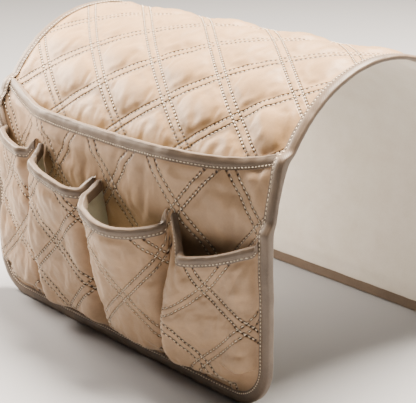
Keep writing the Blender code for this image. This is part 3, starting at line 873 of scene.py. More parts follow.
def add_node(tree: bpy.types.NodeTree, kind: str, links: dict | None = None, **settings: object) -> bpy.types.Node:
    """Add a node with its settings and links.

    Args:
        tree: Node tree of the material.
        kind: Type of the node.
        links: Input name or number to an output socket or a value.
        settings: Properties of the node.

    Returns:
        The new node.
    """
    node = tree.nodes.new(kind)
    for name, value in settings.items():
        setattr(node, name, value)
    for name, value in (links or {}).items():
        if isinstance(value, Socket):
            tree.links.new(value, node.inputs[name])
        else:
            node.inputs[name].default_value = value
    return node


@dataclass(frozen=True)
class ClothFinish:
    """Woven polyester, dyed in the thread and brushed, with the light nap that gives it a soft sheen."""

    name: str
    light: str
    dark: str
    weave: Weave
    roughness: float = 0.55
    sheen: float = 0.35
    specular: float = 0.35
    thread_depth: float = 0.00003
    crease_depth: float = 0.00035
    crease_size: float = 0.011
    lattice: Lattice | None = None
    channel_width: float = 0.0016
    channel_depth: float = 0.00065
    # Painted shade: share of the colour darkened towards a dark brown in the sunken stitch channels
    channel_painted_shade: float = 0.30
    hole_depth: float = 0.0007
    # Painted shade in the needle holes, and the dark brown that both painted shades darken towards
    hole_painted_shade: float = 0.80
    painted_shade_colour: str = "#3d2a1e"

    def make(self) -> bpy.types.Material:
        """Material of this cloth."""
        material = bpy.data.materials.new(self.name)
        material.use_nodes = True
        tree = material.node_tree
        shader = tree.nodes["Principled BSDF"]
        shader.inputs["Roughness"].default_value = self.roughness
        shader.inputs["Specular IOR Level"].default_value = self.specular
        shader.inputs["Sheen Weight"].default_value = self.sheen
        shader.inputs["Sheen Roughness"].default_value = 0.45
        shader.inputs["Sheen Tint"].default_value = to_linear("#fff0dc")
        cloth = add_node(tree, "ShaderNodeUVMap", uv_map="Cloth").outputs["UV"]
        place = add_node(tree, "ShaderNodeTexCoord").outputs["Object"]
        nap = self.noise(tree, place, 1 / 0.016, 4)
        fibre = self.noise(tree, cloth, 1 / 0.0016, 2)
        blend = add_node(tree, "ShaderNodeMath", {0: nap, 1: 0.7, 2: 0.0}, operation="MULTIPLY_ADD").outputs[0]
        blend = add_node(tree, "ShaderNodeMath", {0: fibre, 1: 0.3, 2: blend}, operation="MULTIPLY_ADD").outputs[0]
        blend = add_node(tree, "ShaderNodeMapRange", {0: blend, 1: 0.33, 2: 0.68}).outputs[0]
        mix = add_node(tree, "ShaderNodeMix", {0: blend}, data_type="RGBA")
        mix.inputs["A"].default_value = to_linear(self.dark)
        mix.inputs["B"].default_value = to_linear(self.light)
        colour, height = mix.outputs["Result"], self.relief(tree, cloth, place)
        if self.lattice:
            colour, height = self.sewn(tree, cloth, colour, height)
        tree.links.new(colour, shader.inputs["Base Color"])
        bump = add_node(tree, "ShaderNodeBump", {"Strength": 0.9, "Distance": 1.0, "Height": height})
        tree.links.new(bump.outputs["Normal"], shader.inputs["Normal"])
        return material

    def noise(self, tree: bpy.types.NodeTree, place: Socket, scale: float, detail: float) -> Socket:
        """Soft uneven pattern at a scale of so many per metre."""
        links = {"Vector": place, "Scale": scale, "Detail": detail, "Roughness": 0.55}
        return add_node(tree, "ShaderNodeTexNoise", links).outputs["Fac"]

    def relief(self, tree: bpy.types.NodeTree, cloth: Socket, place: Socket) -> Socket:
        """Height of the weave and of the fine creases, in metres."""
        # Bands of the wave texture lie 2 pi / 20 of its units apart, and diagonal ones 1.4 times as far
        scale = 2 * math.pi / self.weave.value / 20
        direction = "DIAGONAL" if self.weave is Weave.TWILL else "X"
        threads = add_node(tree, "ShaderNodeTexWave", {"Vector": cloth, "Scale": scale, "Distortion": 1.0},
                           bands_direction=direction).outputs["Fac"]
        crease = self.noise(tree, place, 1 / self.crease_size, 3)
        height = add_node(tree, "ShaderNodeMath", {0: threads, 1: self.thread_depth, 2: 0.0},
                          operation="MULTIPLY_ADD").outputs[0]
        return add_node(tree, "ShaderNodeMath", {0: crease, 1: self.crease_depth, 2: height},
                        operation="MULTIPLY_ADD").outputs[0]

    def sewn(self, tree: bpy.types.NodeTree, cloth: Socket, colour: Socket,
             height: Socket) -> tuple[Socket, Socket]:
        """Sunken channels and needle holes along the paired stitch rows, with painted shade in both.

        Args:
            tree: Node tree of the material.
            cloth: Flat places on the cloth.
            colour: Colour before the stitching.
            height: Height before the stitching.

        Returns:
            Colour darkened by painted shade in the channels and holes, and height with the stitching.
        """
        quilt = self.lattice

        def sums(kind: str, first: object, second: object, third: object = 0.0) -> Socket:
            return add_node(tree, "ShaderNodeMath", {0: first, 1: second, 2: third}, operation=kind).outputs[0]

        parts = add_node(tree, "ShaderNodeSeparateXYZ", {0: cloth}).outputs
        across = sums("MULTIPLY_ADD", parts[0], 1 / quilt.pitch, -quilt.anchor / quilt.pitch)
        along = sums("MULTIPLY_ADD", parts[1], 1 / quilt.rise, -quilt.start / quilt.rise)
        first, second = sums("SUBTRACT", across, along), sums("ADD", across, along)
        for own, other in ((first, second), (second, first)):
            near = sums("ABSOLUTE", sums("SUBTRACT", sums("FRACT", sums("ADD", own, 100.5), 0.0), 0.5), 0.0)
            row = sums("ABSOLUTE", sums("MULTIPLY_ADD", near, quilt.spacing, -quilt.half_pair), 0.0)
            links = {0: row, 1: 0.0, 2: self.channel_width, 3: 1.0, 4: 0.0}
            channel = add_node(tree, "ShaderNodeMapRange", links, interpolation_type="SMOOTHSTEP").outputs[0]
            phase = sums("MULTIPLY", other, quilt.run / quilt.stitch_pitch)
            gap = sums("ABSOLUTE", sums("SUBTRACT", sums("FRACT", sums("ADD", phase, 100.0), 0.0), 0.5), 0.0)
            links = {0: gap, 1: 0.20, 2: 0.34, 3: 0.0, 4: 1.0}
            hole = add_node(tree, "ShaderNodeMapRange", links).outputs[0]
            links = {0: row, 1: 0.0006, 2: 0.0013, 3: 1.0, 4: 0.0}
            line = add_node(tree, "ShaderNodeMapRange", links, interpolation_type="SMOOTHSTEP").outputs[0]
            dark = sums("MULTIPLY", hole, line)
            height = sums("MULTIPLY_ADD", channel, -self.channel_depth, height)
            height = sums("MULTIPLY_ADD", dark, -self.hole_depth, height)
            # Painted shade: the colour is mixed towards a dark brown in the sunken channels and the needle holes
            shade = sums("MULTIPLY_ADD", channel, self.channel_painted_shade, sums("MULTIPLY", dark, self.hole_painted_shade))
            mix = add_node(tree, "ShaderNodeMix", {0: shade}, data_type="RGBA")
            tree.links.new(colour, mix.inputs["A"])
            mix.inputs["B"].default_value = to_linear(self.painted_shade_colour)
            colour = mix.outputs["Result"]
        return colour, height


@dataclass(frozen=True)
class ThreadFinish:
    """Spun polyester sewing thread, smooth enough to catch a small highlight on each stitch."""

    name: str
    colour: str
    roughness: float = 0.45

    def make(self) -> bpy.types.Material:
        """Material of this thread."""
        material = bpy.data.materials.new(self.name)
        material.use_nodes = True
        tree = material.node_tree
        shader = tree.nodes["Principled BSDF"]
        shader.inputs["Roughness"].default_value = self.roughness
        shader.inputs["Sheen Weight"].default_value = 0.2
        place = add_node(tree, "ShaderNodeTexCoord").outputs["Object"]
        twist = add_node(tree, "ShaderNodeTexNoise", {"Vector": place, "Scale": 900.0}).outputs["Fac"]
        mix = add_node(tree, "ShaderNodeMix", {0: twist}, data_type="RGBA")
        mix.inputs["A"].default_value = to_linear(self.colour)
        mix.inputs["B"].default_value = to_linear("#cbb79b")
        tree.links.new(mix.outputs["Result"], shader.inputs["Base Color"])
        bump = add_node(tree, "ShaderNodeBump", {"Strength": 0.4, "Distance": 0.0002, "Height": twist})
        tree.links.new(bump.outputs["Normal"], shader.inputs["Normal"])
        return material


class Finishes:
    """The organizer's materials, one for each real one."""

    def __init__(self) -> None:
        """Make every material."""
        def satin(name: str, lattice: Lattice, light: str = "#b09070", dark: str = "#9a7e62") -> bpy.types.Material:
            return ClothFinish(name, light, dark, Weave.SATIN, 0.50, 0.40, 0.40, lattice=lattice).make()

        # Satin floats catch a soft sheen. The cover is the same cloth as the pockets, but it lies in full light,
        # which pales it, so its colour is painted a shade warmer to make up for that light
        self.cover = satin("brushed_satin_polyester_cover", COVER_QUILT, "#b08c62", "#9a7a54")
        self.magazine = satin("brushed_satin_polyester_magazine_pocket", MAGAZINE_QUILT)
        self.pockets = [
            satin(f"brushed_satin_polyester_pocket_{number}", lattice)
            for number, lattice in enumerate(POCKET_QUILTS, 1)
        ]
        # Binding tape is a denser twill of the same yarn, so it looks darker, greyer and a little glossier
        self.tape = ClothFinish("twill_binding_tape", "#6f5f50", "#5a4c40", Weave.TWILL, 0.48, 0.25, 0.45,
                                crease_depth=0.00012, crease_size=0.006).make()
        # The side on the arm is a napped grip cloth, pale and quite matt
        self.grip = ClothFinish("napped_grip_lining", "#e9e5dd", "#dfd9ce", Weave.PLAIN, 0.8, 0.3, 0.2).make()
        # Inside the pockets lies thin plain-woven lining, off-white with a green cast
        self.lining = ClothFinish("plain_woven_pocket_lining", "#cfd0c2", "#bfc1b2", Weave.PLAIN, 0.6, 0.15,
                                  0.3).make()
        # Cream thread is paler than the cloth, so every stitch reads as a bright grain in its dark row
        self.thread = ThreadFinish("spun_polyester_thread", "#efe2cb").make()


@dataclass
class QuiltedStrip:
    """The strip itself: quilted cover, grip lining, edge binding and their stitches, in a front and a back piece."""

    strip: Strip = STRIP
    columns: int = 176
    row_step: float = 0.0019
    fold_before: float = 0.012
    fold_after: float = 0.018
    hidden_share: float = 0.25
    shown_before: float = 0.035
    shown_ramp: float = 0.02
    press_fade: float = 0.011
    pucker_height: float = 0.0005
    pucker_length: float = 0.010
    fold_height: float = 0.0007
    lining_top: float = 0.0015
    lining_notch: float = 0.0011
    slack: float = 0.00025
    station: float = 0.0016
    tape_hump: float = 0.0016
    hump_length: float = 0.008

    def grid(self, start: float, end: float) -> tuple[Array, Array]:
        """Flat places across and along of a stretch of the strip."""
        rows = max(8, round((end - start) / self.row_step))
        s = np.linspace(start, end, rows + 1)
        share = np.linspace(-1, 1, self.columns + 1)
        grid_share, grid_s = np.meshgrid(share, s)
        half = self.strip.width / 2 - self.strip.side_trim
        return self.strip.narrowed(grid_share * half, grid_s), grid_s

    def cover_height(self, x: Array, s: Array) -> tuple[Array, Array]:
        """Moves of the quilting over the strip, pressed flat at the binding and inside the pocket.

        Args:
            x: Places across.
            s: Places along.

        Returns:
            Sideways moves and heights.
        """
        moves = QUILT.cut(x, s, COVER_QUILT)
        strip = self.strip
        inset = strip.inset(x, s)
        shown = ease((s - strip.magazine_mouth + self.shown_before) / self.shown_ramp)
        shown = self.hidden_share + (1 - self.hidden_share) * shown
        free = ease((inset - strip.press_inset) / self.press_fade) * shown
        near_tape = np.exp(-np.maximum(inset - 0.008, 0) / self.pucker_length)
        puckers = self.pucker_height * ripple(s / 0.0085, x / 0.05, 21) * near_tape
        folds = self.folds(x, s) + COVER_QUILT.crinkles(x, s, 50) * free
        height = moves[..., 2] * free + (folds + puckers) * strip.beside_tape(x, s)
        return moves[..., :2] * free[..., None], height

    def folds(self, x: Array, s: Array) -> Array:
        """Soft folds that lie in the cloth where it turns over the arm and beside the mouth."""
        return self.fold_height * ripple(x / 0.05, s / 0.03, 5) + creased(x, s, SADDLE_CREASES)

    def cover(self, name: str, start: float, end: float,
              finish: bpy.types.Material) -> tuple[bpy.types.Object, Surface]:
        """Quilted cover of one stretch.

        Args:
            name: Name of the piece.
            start: Place along the strip where it starts.
            end: Place where it ends.
            finish: Its material.

        Returns:
            The piece and its outer surface.
        """
        x, s = self.grid(start, end)
        sideways, height = self.cover_height(x, s)
        top = self.strip.drape(x + sideways[..., 0], s + sideways[..., 1], self.strip.cover_top + height)
        foot = self.strip.drape(x, s, np.full_like(x, self.strip.under_cover))
        piece = cloth_piece(name, top, foot, np.stack([x, s], -1), finish)
        return piece, Surface(top, x, s)

    def lining(self, name: str, start: float, end: float, finish: bpy.types.Material) -> bpy.types.Object:
        """Grip lining of one stretch, with a little slack between its seams."""
        x, s = self.grid(start, end)
        inset = self.strip.inset(x, s)
        level = self.lining_notch * (1 - ease((inset - 0.0083) / 0.0008))
        slack = self.slack * ripple(x / 0.04, s / 0.04, 12) * ease((inset - 0.009) / 0.01)
        foot = self.strip.drape(x, s, level + np.maximum(slack, 0))
        top = self.strip.drape(x, s, np.full_like(x, self.lining_top))
        return cloth_piece(name, foot, top, np.stack([x, s], -1), finish)

    def edge(self, hem: float, way: int, end: float) -> TapePath:
        """Edge of the strip from one side, round the hem, to the other side.

        Args:
            hem: Place of the hem along the strip.
            way: 1 where the cloth lies after the hem, -1 where it lies before.
            end: Place where both sides end.

        Returns:
            Stations of the edge.
        """
        strip, step = self.strip, self.station
        turn_at = hem + way * strip.corner
        sides = np.linspace(end, turn_at, max(4, round(abs(end - turn_at) / step)))
        turns = np.linspace(0, math.pi / 2, round(strip.corner * math.pi / 2 / step))[1:]
        across = np.linspace(1, -1, round((strip.width - 2 * strip.corner) / step))[1:-1]
        centre = strip.width / 2 - strip.corner
        right = [(strip.width / 2, s, 1.0, 0.0) for s in sides]
        right += [(centre + strip.corner * math.cos(t), turn_at - way * strip.corner * math.sin(t),
                   math.cos(t), -way * math.sin(t)) for t in turns]
        middle = [(centre * share, hem, 0.0, -float(way)) for share in across]
        left = [(-x, s, -out_x, out_s) for x, s, out_x, out_s in right[::-1]]
        x, s, out_x, out_s = np.array(right + middle + left).T
        zero = np.zeros_like(x)
        turn = (np.clip(s, strip.drop, strip.roll_end) - strip.crown) / strip.roll
        up = np.stack([zero, np.sin(turn), np.cos(turn)], -1)
        along = np.stack([zero, np.cos(turn), -np.sin(turn)], -1)
        out = np.stack([out_x, zero, zero], -1) + along * out_s[:, None]
        top = strip.stack(x, s)
        under = top - (top - self.lining_notch) * (1 - strip.edge_squeeze)
        # The binding rises over the end of the wide mouth's tape
        past_mouth = s - strip.magazine_mouth + strip.mouth_drop + 0.005
        top = top + self.tape_hump * np.exp(-((past_mouth / self.hump_length) ** 2))
        return TapePath(strip.lay(x, s, zero), out, up, under, top)

    def build(self, finishes: Finishes) -> None:
        """Make every piece of the strip, front and back, and hide the frame's parts that they cover."""
        strip = self.strip
        stretches = (
            ("front", strip.trim, strip.split, 0.0, 1, strip.split, strip.hinge, ("front_flap", "saddle")),
            ("back", strip.split, strip.length - strip.trim, strip.length, -1, strip.split,
             strip.length - strip.hinge, ("saddle", "back_flap")),
        )
        covered = {
            "front": ("front_facing", "saddle_facing", "front_wadding", "saddle_wadding"),
            "back": ("back_facing", "back_wadding"),
        }
        for name, start, end, hem, way, edge_end, hinge, bodies in stretches:
            cover, surface = self.cover(f"quilted_cover_{name}", start, end, finishes.cover)
            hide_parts(*covered[name])
            lining = self.lining(f"grip_lining_{name}", start, end, finishes.grip)
            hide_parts(*(("front_lining", "saddle_lining") if name == "front" else ("back_lining",)))
            tape, path = Tape(), self.edge(hem, way, edge_end)
            outer, inner, flat = tape.sweep(path, 40 + len(name))
            binding = cloth_piece(f"edge_binding_{name}", outer, inner, flat, finishes.tape)
            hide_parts(*(("front_binding", "saddle_binding_left", "saddle_binding_right")
                                   if name == "front" else ("back_binding",)))
            shown = (strip.magazine_mouth - 0.004, end - 0.0005) if name == "front" else (start + 0.0005, end)
            threads = np.concatenate([np.stack(quilt_stitches(surface, COVER_QUILT, shown)),
                                      np.stack(tape.stitches(path, outer))], 1)
            thread = stitch_piece(f"strip_stitches_{name}", *threads, finishes.thread)
            for piece in (cover, lining, binding, thread):
                self.fold(piece, hinge, bodies)
                LOG.info("strip piece %s folds between %s and %s", piece.name, *bodies)

    def fold(self, piece: bpy.types.Object, hinge: float, bodies: tuple[str, str]) -> None:
        """Bake a piece's placement into its mesh; the ends of its fold line, with the longer stretch on the saddle's
        side, are worked out but the piece is not bent.
        """
        before, after = self.fold_before, self.fold_after
        if bodies[0] == "saddle":
            before, after = after, before
        places = (np.array(hinge + move) for move in (-before, after))
        ends = [Vector(self.strip.drape(np.array(0.0), place, np.array(0.0))) for place in places]
        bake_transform(piece)


def hang_on_front(pieces: tuple[bpy.types.Object, ...]) -> None:
    """Tie a pocket's quilt, lining, mouth tape and stitches to the front flap."""
    slots = ("satin_polyester", "pocket_lining", "binding_tape", "binding_tape")
    for piece, slot in zip(pieces, slots):
        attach(piece, "front_flap")
        LOG.info("pocket piece %s rides on front_flap", piece.name)


@dataclass
class MagazinePocket:
    """The wide pocket: quilted outside, plain lining, and folded tape over its mouth."""

    strip: Strip = STRIP
    bulge: float = 0.021
    side_rise: float = 0.070
    side_blend: float = 0.03
    sag: float = 0.0160
    columns: int = 172
    rows: int = 100
    lining: float = 0.0006
    quilt_level: float = 0.0009
    hidden_share: float = 0.2
    press_fade: float = 0.011
    pull_height: float = 0.0007
    pucker_height: float = 0.0006
    mouth_fade: float = 0.007
    sag_passes: int = 14

    def level(self, x: Array, s: Array) -> Array:
        """How far the pocket stands off the strip."""
        strip = self.strip
        past = 1 - (strip.width / 2 - np.abs(x) - strip.edge_flat) / self.side_rise
        side = np.clip(1 - (past + np.sqrt(past**2 + self.side_blend)) / 2, 0, 1)
        side_share = 1 - np.cos(side * math.pi / 2)
        rise = np.clip((s - strip.edge_flat) / (strip.magazine_mouth - strip.edge_flat), 0, 1)
        return self.bulge * side_share * rise ** (4.3 - 3.5 * side) + strip.mouth_room(s, strip.magazine_mouth)

    def height(self, x: Array, s: Array) -> Array:
        """Outer level of the pocket, without its quilting."""
        return self.strip.magazine_top + self.level(x, s)

    def drop(self, x: Array) -> Array:
        """How far the mouth hangs below the level that the bulge is worked out for."""
        strip = self.strip
        middle = 1 - (2 * np.minimum(np.abs(x) + strip.edge_flat, strip.width / 2) / strip.width) ** 4
        return self.sag * middle + strip.mouth_drop

    def lifted(self, x: Array, s: Array) -> Array:
        """Places along the strip as they would be without the sag of the mouth."""
        strip, start, above = self.strip, self.strip.row_top(x), s
        for _ in range(self.sag_passes):
            share = ease((above - start) / (strip.magazine_mouth - strip.lip_flat - start))
            above = s + self.drop(x) * share
        return above

    def grid(self) -> tuple[Array, Array]:
        """Flat places of the pocket's points, up to its sagging mouth."""
        strip = self.strip
        across, share = np.meshgrid(np.linspace(-1, 1, self.columns + 1), np.linspace(0, 1, self.rows + 1))
        across = across * (strip.width / 2 - strip.side_trim)
        s = strip.trim + share * (strip.magazine_mouth - self.drop(across) - strip.trim)
        return strip.narrowed(across, s), s

    def relief(self, x: Array, s: Array) -> Array:
        """Height of the quilting and of the slack folds between it."""
        strip = self.strip
        inset = strip.inset(x, s)
        moves = QUILT.cut(x, s, MAGAZINE_QUILT)
        shown = self.hidden_share + (1 - self.hidden_share) * ease((s - strip.row_top(x) + 0.028) / 0.02)
        below = strip.magazine_mouth - self.drop(x) - s
        mouth = ease((below - 0.0080) / self.mouth_fade)
        free = ease((inset - strip.press_inset) / self.press_fade) * shown * mouth
        pulls = self.pull_height * ripple(x / 0.045, s / 0.010, 33) * mouth
        near_lip = np.exp(-np.maximum(below - 0.009, 0) / self.mouth_fade)
        puckers = self.pucker_height * ripple(x / 0.0075, s / 0.06, 34) * near_lip
        folds = pulls + puckers + creased(x, s, MAGAZINE_CREASES) + MAGAZINE_QUILT.crinkles(x, s, 52) * free
        return moves[..., 2] * free + folds * strip.beside_tape(x, s)

    def build(self, finishes: Finishes) -> None:
        """Make the pocket's pieces on the front flap."""
        strip = self.strip
        x, s = self.grid()
        lift = self.level(x, self.lifted(x, s))
        flat = np.stack([x, s], -1)
        levels = (0.0, self.lining, self.quilt_level)
        layers = [strip.drape(x, s, strip.magazine_level + lift + level) for level in levels]
        top = strip.drape(x, s, strip.magazine_top + lift + self.relief(x, s))
        lining = cloth_piece("magazine_pocket_inner_cloth", layers[1], layers[0], flat, finishes.lining)
        quilt = cloth_piece("magazine_pocket_quilt", top, layers[2], flat, finishes.magazine)
        tape = Tape(lip=0.0082, fit=0.0005, nose=0.0015, pucker=0.00036)
        path = self.mouth(x[-1], s, lift)
        outer, inner, along = tape.sweep(path, 61)
        binding = cloth_piece("magazine_pocket_mouth_tape", outer, inner, along, finishes.tape)
        surface = Surface(top, x, s, 0.0098)
        threads = np.concatenate([
            np.stack(quilt_stitches(surface, MAGAZINE_QUILT, (0.085, strip.magazine_mouth))),
            np.stack(tape.stitches(path, outer)),
        ], 1)
        thread = stitch_piece("magazine_pocket_stitches", *threads, finishes.thread)
        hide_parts("magazine_pocket_facing")
        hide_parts("magazine_pocket_lining")
        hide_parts("magazine_mouth_binding")
        hang_on_front((quilt, lining, binding, thread))

    def mouth(self, x: Array, s: Array, lift: Array) -> TapePath:
        """Edge of the pocket's mouth between the side bindings."""
        strip = self.strip
        reach = strip.width / 2 - 0.0055
        keep = np.abs(x) < reach
        x, top, low = x[keep], s[-1, keep], s[-8, keep]
        n, n_low = strip.magazine_level + lift[-1, keep], strip.magazine_level + lift[-8, keep]
        point, below = strip.drape(x, top, n), strip.drape(x, low, n_low)
        out = point - below
        out /= np.linalg.norm(out, axis=1, keepdims=True)
        across = np.gradient(point, axis=0)
        up = np.cross(across, out)
        up /= np.linalg.norm(up, axis=1, keepdims=True)
        return TapePath(point, out, up, np.zeros_like(x), strip.pocket_stack * strip.squeeze(x, top))


@dataclass
class SmallPocket:
    """One pleated small pocket, open as it hangs: quilted outside, pale lining and folded tape over its mouth."""

    number: int
    lips: tuple[tuple[float, float, float], ...]
    magazine: MagazinePocket
    strip: Strip = STRIP
    swell: tuple[float, float] = (0.0, 0.0)
    half_gap: float = 0.0040
    pleat_foot: float = 0.0014
    pleat_bow: float = 0.0008
    pleat_depth: float = 0.0265
    lip_drop: float = 0.020
    tape_lip: float = 0.0068
    bag_depth: float = 0.0125
    bag_height: float = 0.015
    corner_press: int = 7
    foot_trim: float = 0.0006
    opening_power: float = 0.75
    lining: float = 0.0006
    quilt_level: float = 0.0009
    press_fade: float = 0.010
    mouth_fade: float = 0.006
    puff_share: float = 0.85
    slack_height: float = 0.0011
    pucker_height: float = 0.0005
    pull_height: float = 0.0005
    tape_cut: float = 0.0022
    tape_cut_edge: float = 0.0102
    tape_station: float = 0.0012
    pleat_steps: int = 22
    front_steps: int = 72
    rows: int = 84
    rounding: int = 5

    def sides(self) -> tuple[float, float]:
        """Left and right ends of the pocket's seat."""
        half = self.strip.width / 2
        seams = (-half - self.half_gap, *DIVIDERS, half + self.half_gap)
        return seams[self.number - 1] + self.half_gap, seams[self.number] - self.half_gap

    def plan(self) -> tuple[Array, Array]:
        """Part of the pocket, 0 to 2, and share across it for each column."""
        pleat = np.arange(self.pleat_steps) / self.pleat_steps
        front = np.linspace(0, 1, self.front_steps + 1)
        part = np.concatenate([pleat * 0, front * 0 + 1, pleat * 0 + 2])
        return part, np.concatenate([pleat, front, pleat + 1 / self.pleat_steps])

    def lip(self, part: Array, share: Array) -> Array:
        """Place across, depth and rise of the lip for each column."""
        left, right = self.sides()
        rows = np.array([
            (left + across * (right - left), depth * self.pleat_depth, rise * self.lip_drop)
            for across, depth, rise in self.lips
        ])
        weights = np.stack([(1 - share) * (1 - 2 * share), 4 * share * (1 - share), share * (2 * share - 1)], -1)
        front = weights @ rows
        start, end = np.array([left, 0, 0]), np.array([right, 0, 0])
        pleat_in = start + (rows[0] - start) * share[:, None]
        pleat_out = rows[2] + (end - rows[2]) * share[:, None]
        return np.where((part == 0)[:, None], pleat_in, np.where((part == 2)[:, None], pleat_out, front))

    def foot(self, part: Array, share: Array) -> Array:
        """Place across of the sewn foot for each column."""
        left, right = self.sides()
        start = left + (self.strip.edge_flat if self.number == 1 else self.pleat_foot)
        end = right - (self.strip.edge_flat if self.number == 4 else self.pleat_foot)
        front = start + (end - start) * share
        last_pleat = np.where(part == 2, end + (right - end) * share, front)
        return np.where(part == 0, left + (start - left) * share, last_pleat)

    def corner_share(self, x: Array, s: Array) -> Array:
        """Share of the depth that a round hem corner leaves."""
        strip = self.strip
        near = (strip.width / 2 - np.abs(x) < strip.corner) & (s > strip.edge_flat) & (s < strip.corner)
        share = np.clip((strip.inset(x, s) - strip.edge_flat) / np.maximum(s - strip.edge_flat, 1e-6), 0, 1)
        return np.where(near, share**self.corner_press, 1.0)

    def inside(self) -> tuple[Array, Array, Array]:
        """Grid of the pocket's inner side.

        Returns:
            Points, flat places across the unrolled cloth, and places along it.
        """
        strip = self.strip
        part, share = self.plan()
        lip, foot = self.lip(part, share), self.foot(part, share)
        top = smoothed(strip.row_top(lip[:, 0])[None], self.rounding)
        s = self.foot_trim + np.linspace(0, 1, self.rows + 1)[:, None] * (top - self.foot_trim)
        opening = np.clip((s - strip.edge_flat) / (top - strip.edge_flat), 0, 1)
        x = foot + (lip[:, 0] - foot) * opening**self.opening_power
        x = x + np.where(part != 1, (1 - part) * self.pleat_bow * np.sin(math.pi * share), 0) * opening
        front = np.where(part == 1, ease(np.sin(math.pi * share) * 3), 0)
        bag = self.bag_depth * front * ease((s - strip.edge_flat) / self.bag_height) * (1 - 0.6 * opening)
        belly = np.where(part == 0, ease(share), np.where(part == 1, 1 - ease(share * 1.6), 0))
        loose = np.sin(math.pi * opening ** 0.8) * belly
        x = strip.narrowed(x - self.swell[0] * loose, s)
        stand = lip[:, 1] * opening**self.opening_power + bag + self.swell[1] * loose
        stand = stand * self.corner_share(x, s)
        x, stand = smoothed(x, self.rounding), smoothed(stand, self.rounding)
        risen = s + smoothed(lip[:, 2] * ease(opening), self.rounding)
        level = self.magazine.height(x, risen) + strip.trim + strip.mouth_room(s, top)
        slack = self.slack(x, s, part, opening)
        points = strip.drape(x, risen, level + stand + slack)
        steps = np.hypot(np.diff(x, axis=1, prepend=x[:, :1]), np.diff(stand, axis=1, prepend=stand[:, :1]))
        unrolled = np.cumsum(steps, axis=1).mean(axis=0)
        flat = unrolled - unrolled[len(unrolled) // 2] + float(x[:, x.shape[1] // 2].mean())
        return points, np.broadcast_to(flat, x.shape).copy(), s

    def slack(self, x: Array, s: Array, part: Array, opening: Array) -> Array:
        """Soft dents and pulls of the whole pocket front."""
        front = ease(np.minimum(opening, 1 - opening * 0.3) * 2) * np.where(part == 1, 1.0, 0.3)
        return self.slack_height * ripple(x / 0.035, s / 0.028, 70 + self.number) * front

    def relief(self, x: Array, s: Array, flat: Array) -> Array:
        """Height of the quilting, pressed flat at the foot, the edge and the mouth."""
        strip, top = self.strip, s[-1:]
        quilt = POCKET_QUILTS[self.number - 1]
        moves = QUILT.cut(flat, s, quilt)
        edge = ease((strip.inset(x, s) - strip.press_inset) / self.press_fade)
        lip = ease((top - self.tape_lip + 0.0004 - s) / self.mouth_fade)
        ends = np.ones_like(x)
        ends[:, :4] = ends[:, -4:] = 0.0
        ends = smoothed(ends, 6)
        puckers = ripple(flat / 0.0065, s / 0.05, 80 + self.number)
        near_lip = np.exp(-np.maximum(top - self.tape_lip - s, 0) / 0.007)
        near_foot = np.exp(-np.maximum(s - 0.009, 0) / 0.006)
        pulls = self.pull_height * ripple(flat / 0.018, s / 0.009, 90 + self.number)
        pulls = pulls + creased(flat, s, POCKET_CREASES[self.number - 1])
        pulls = pulls + quilt.crinkles(flat, s, 52 + 2 * self.number)
        height = moves[..., 2] * self.puff_share * edge * lip
        height = height + self.pucker_height * puckers * (near_lip + near_foot) * lip + pulls * edge * lip
        return height * ends

    def build(self, finishes: Finishes) -> None:
        """Make the pocket's pieces on the front flap."""
        points, flat, s = self.inside()
        normals = smoothed(smoothed(outward(points), 2), 2, axis=0)
        normals /= np.linalg.norm(normals, axis=-1, keepdims=True)
        if float(np.mean(normals[..., 1])) > 0:
            normals = -normals
        x = points[..., 0]
        cloth = np.stack([flat, s], -1)
        number = self.number
        inner_cloth = points + normals * self.lining
        lining = cloth_piece(f"pocket_{number}_inner_cloth", inner_cloth, points, cloth, finishes.lining)
        height = self.strip.pocket_stack * self.strip.squeeze(x, s) + self.relief(x, s, flat)
        top = points + normals * height[..., None]
        under = points + normals * self.quilt_level
        quilt = cloth_piece(f"pocket_{number}_quilt", top, under, cloth, finishes.pockets[number - 1])
        tape = Tape(lip=self.tape_lip, fit=0.0005, nose=0.0015, pucker=0.00038)
        path = self.mouth(points, normals)
        outer, inner, along = tape.sweep(path, 100 + number)
        binding = cloth_piece(f"pocket_{number}_mouth_tape", outer, inner, along, finishes.tape)
        surface = Surface(top, flat, s, self.tape_lip + 0.0012)
        threads = np.concatenate([
            np.stack(quilt_stitches(surface, POCKET_QUILTS[number - 1], (0.010, 1.0))),
            np.stack(tape.stitches(path, outer)),
        ], 1)
        thread = stitch_piece(f"pocket_{number}_stitches", *threads, finishes.thread)
        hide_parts(f"pocket_{number}_facing")
        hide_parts(f"pocket_{number}_lining")
        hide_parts(f"pocket_{number}_mouth_binding")
        hang_on_front((quilt, lining, binding, thread))

    def mouth(self, points: Array, normals: Array) -> TapePath:
        """Edge of the pocket's mouth, cut back from the edge binding or the seat."""
        edge, below = points[-1], points[-7]
        length = np.concatenate([[0.0], np.cumsum(np.linalg.norm(np.diff(edge, axis=0), axis=1))])
        first = self.tape_cut_edge if self.number == 1 else self.tape_cut
        last = length[-1] - (self.tape_cut_edge if self.number == 4 else self.tape_cut)
        marks = np.linspace(first, last, round((last - first) / self.tape_station))
        column = np.interp(marks, length, np.arange(len(length)))

        def along(grid: Array) -> Array:
            return np.stack([np.interp(column, np.arange(len(grid)), grid[:, axis]) for axis in range(3)], -1)

        point, up = along(edge), along(normals[-1])
        out = point - along(below)
        out /= np.linalg.norm(out, axis=1, keepdims=True)
        flat = np.zeros(len(point))
        return TapePath(point, out, up, flat, flat + self.strip.pocket_stack)


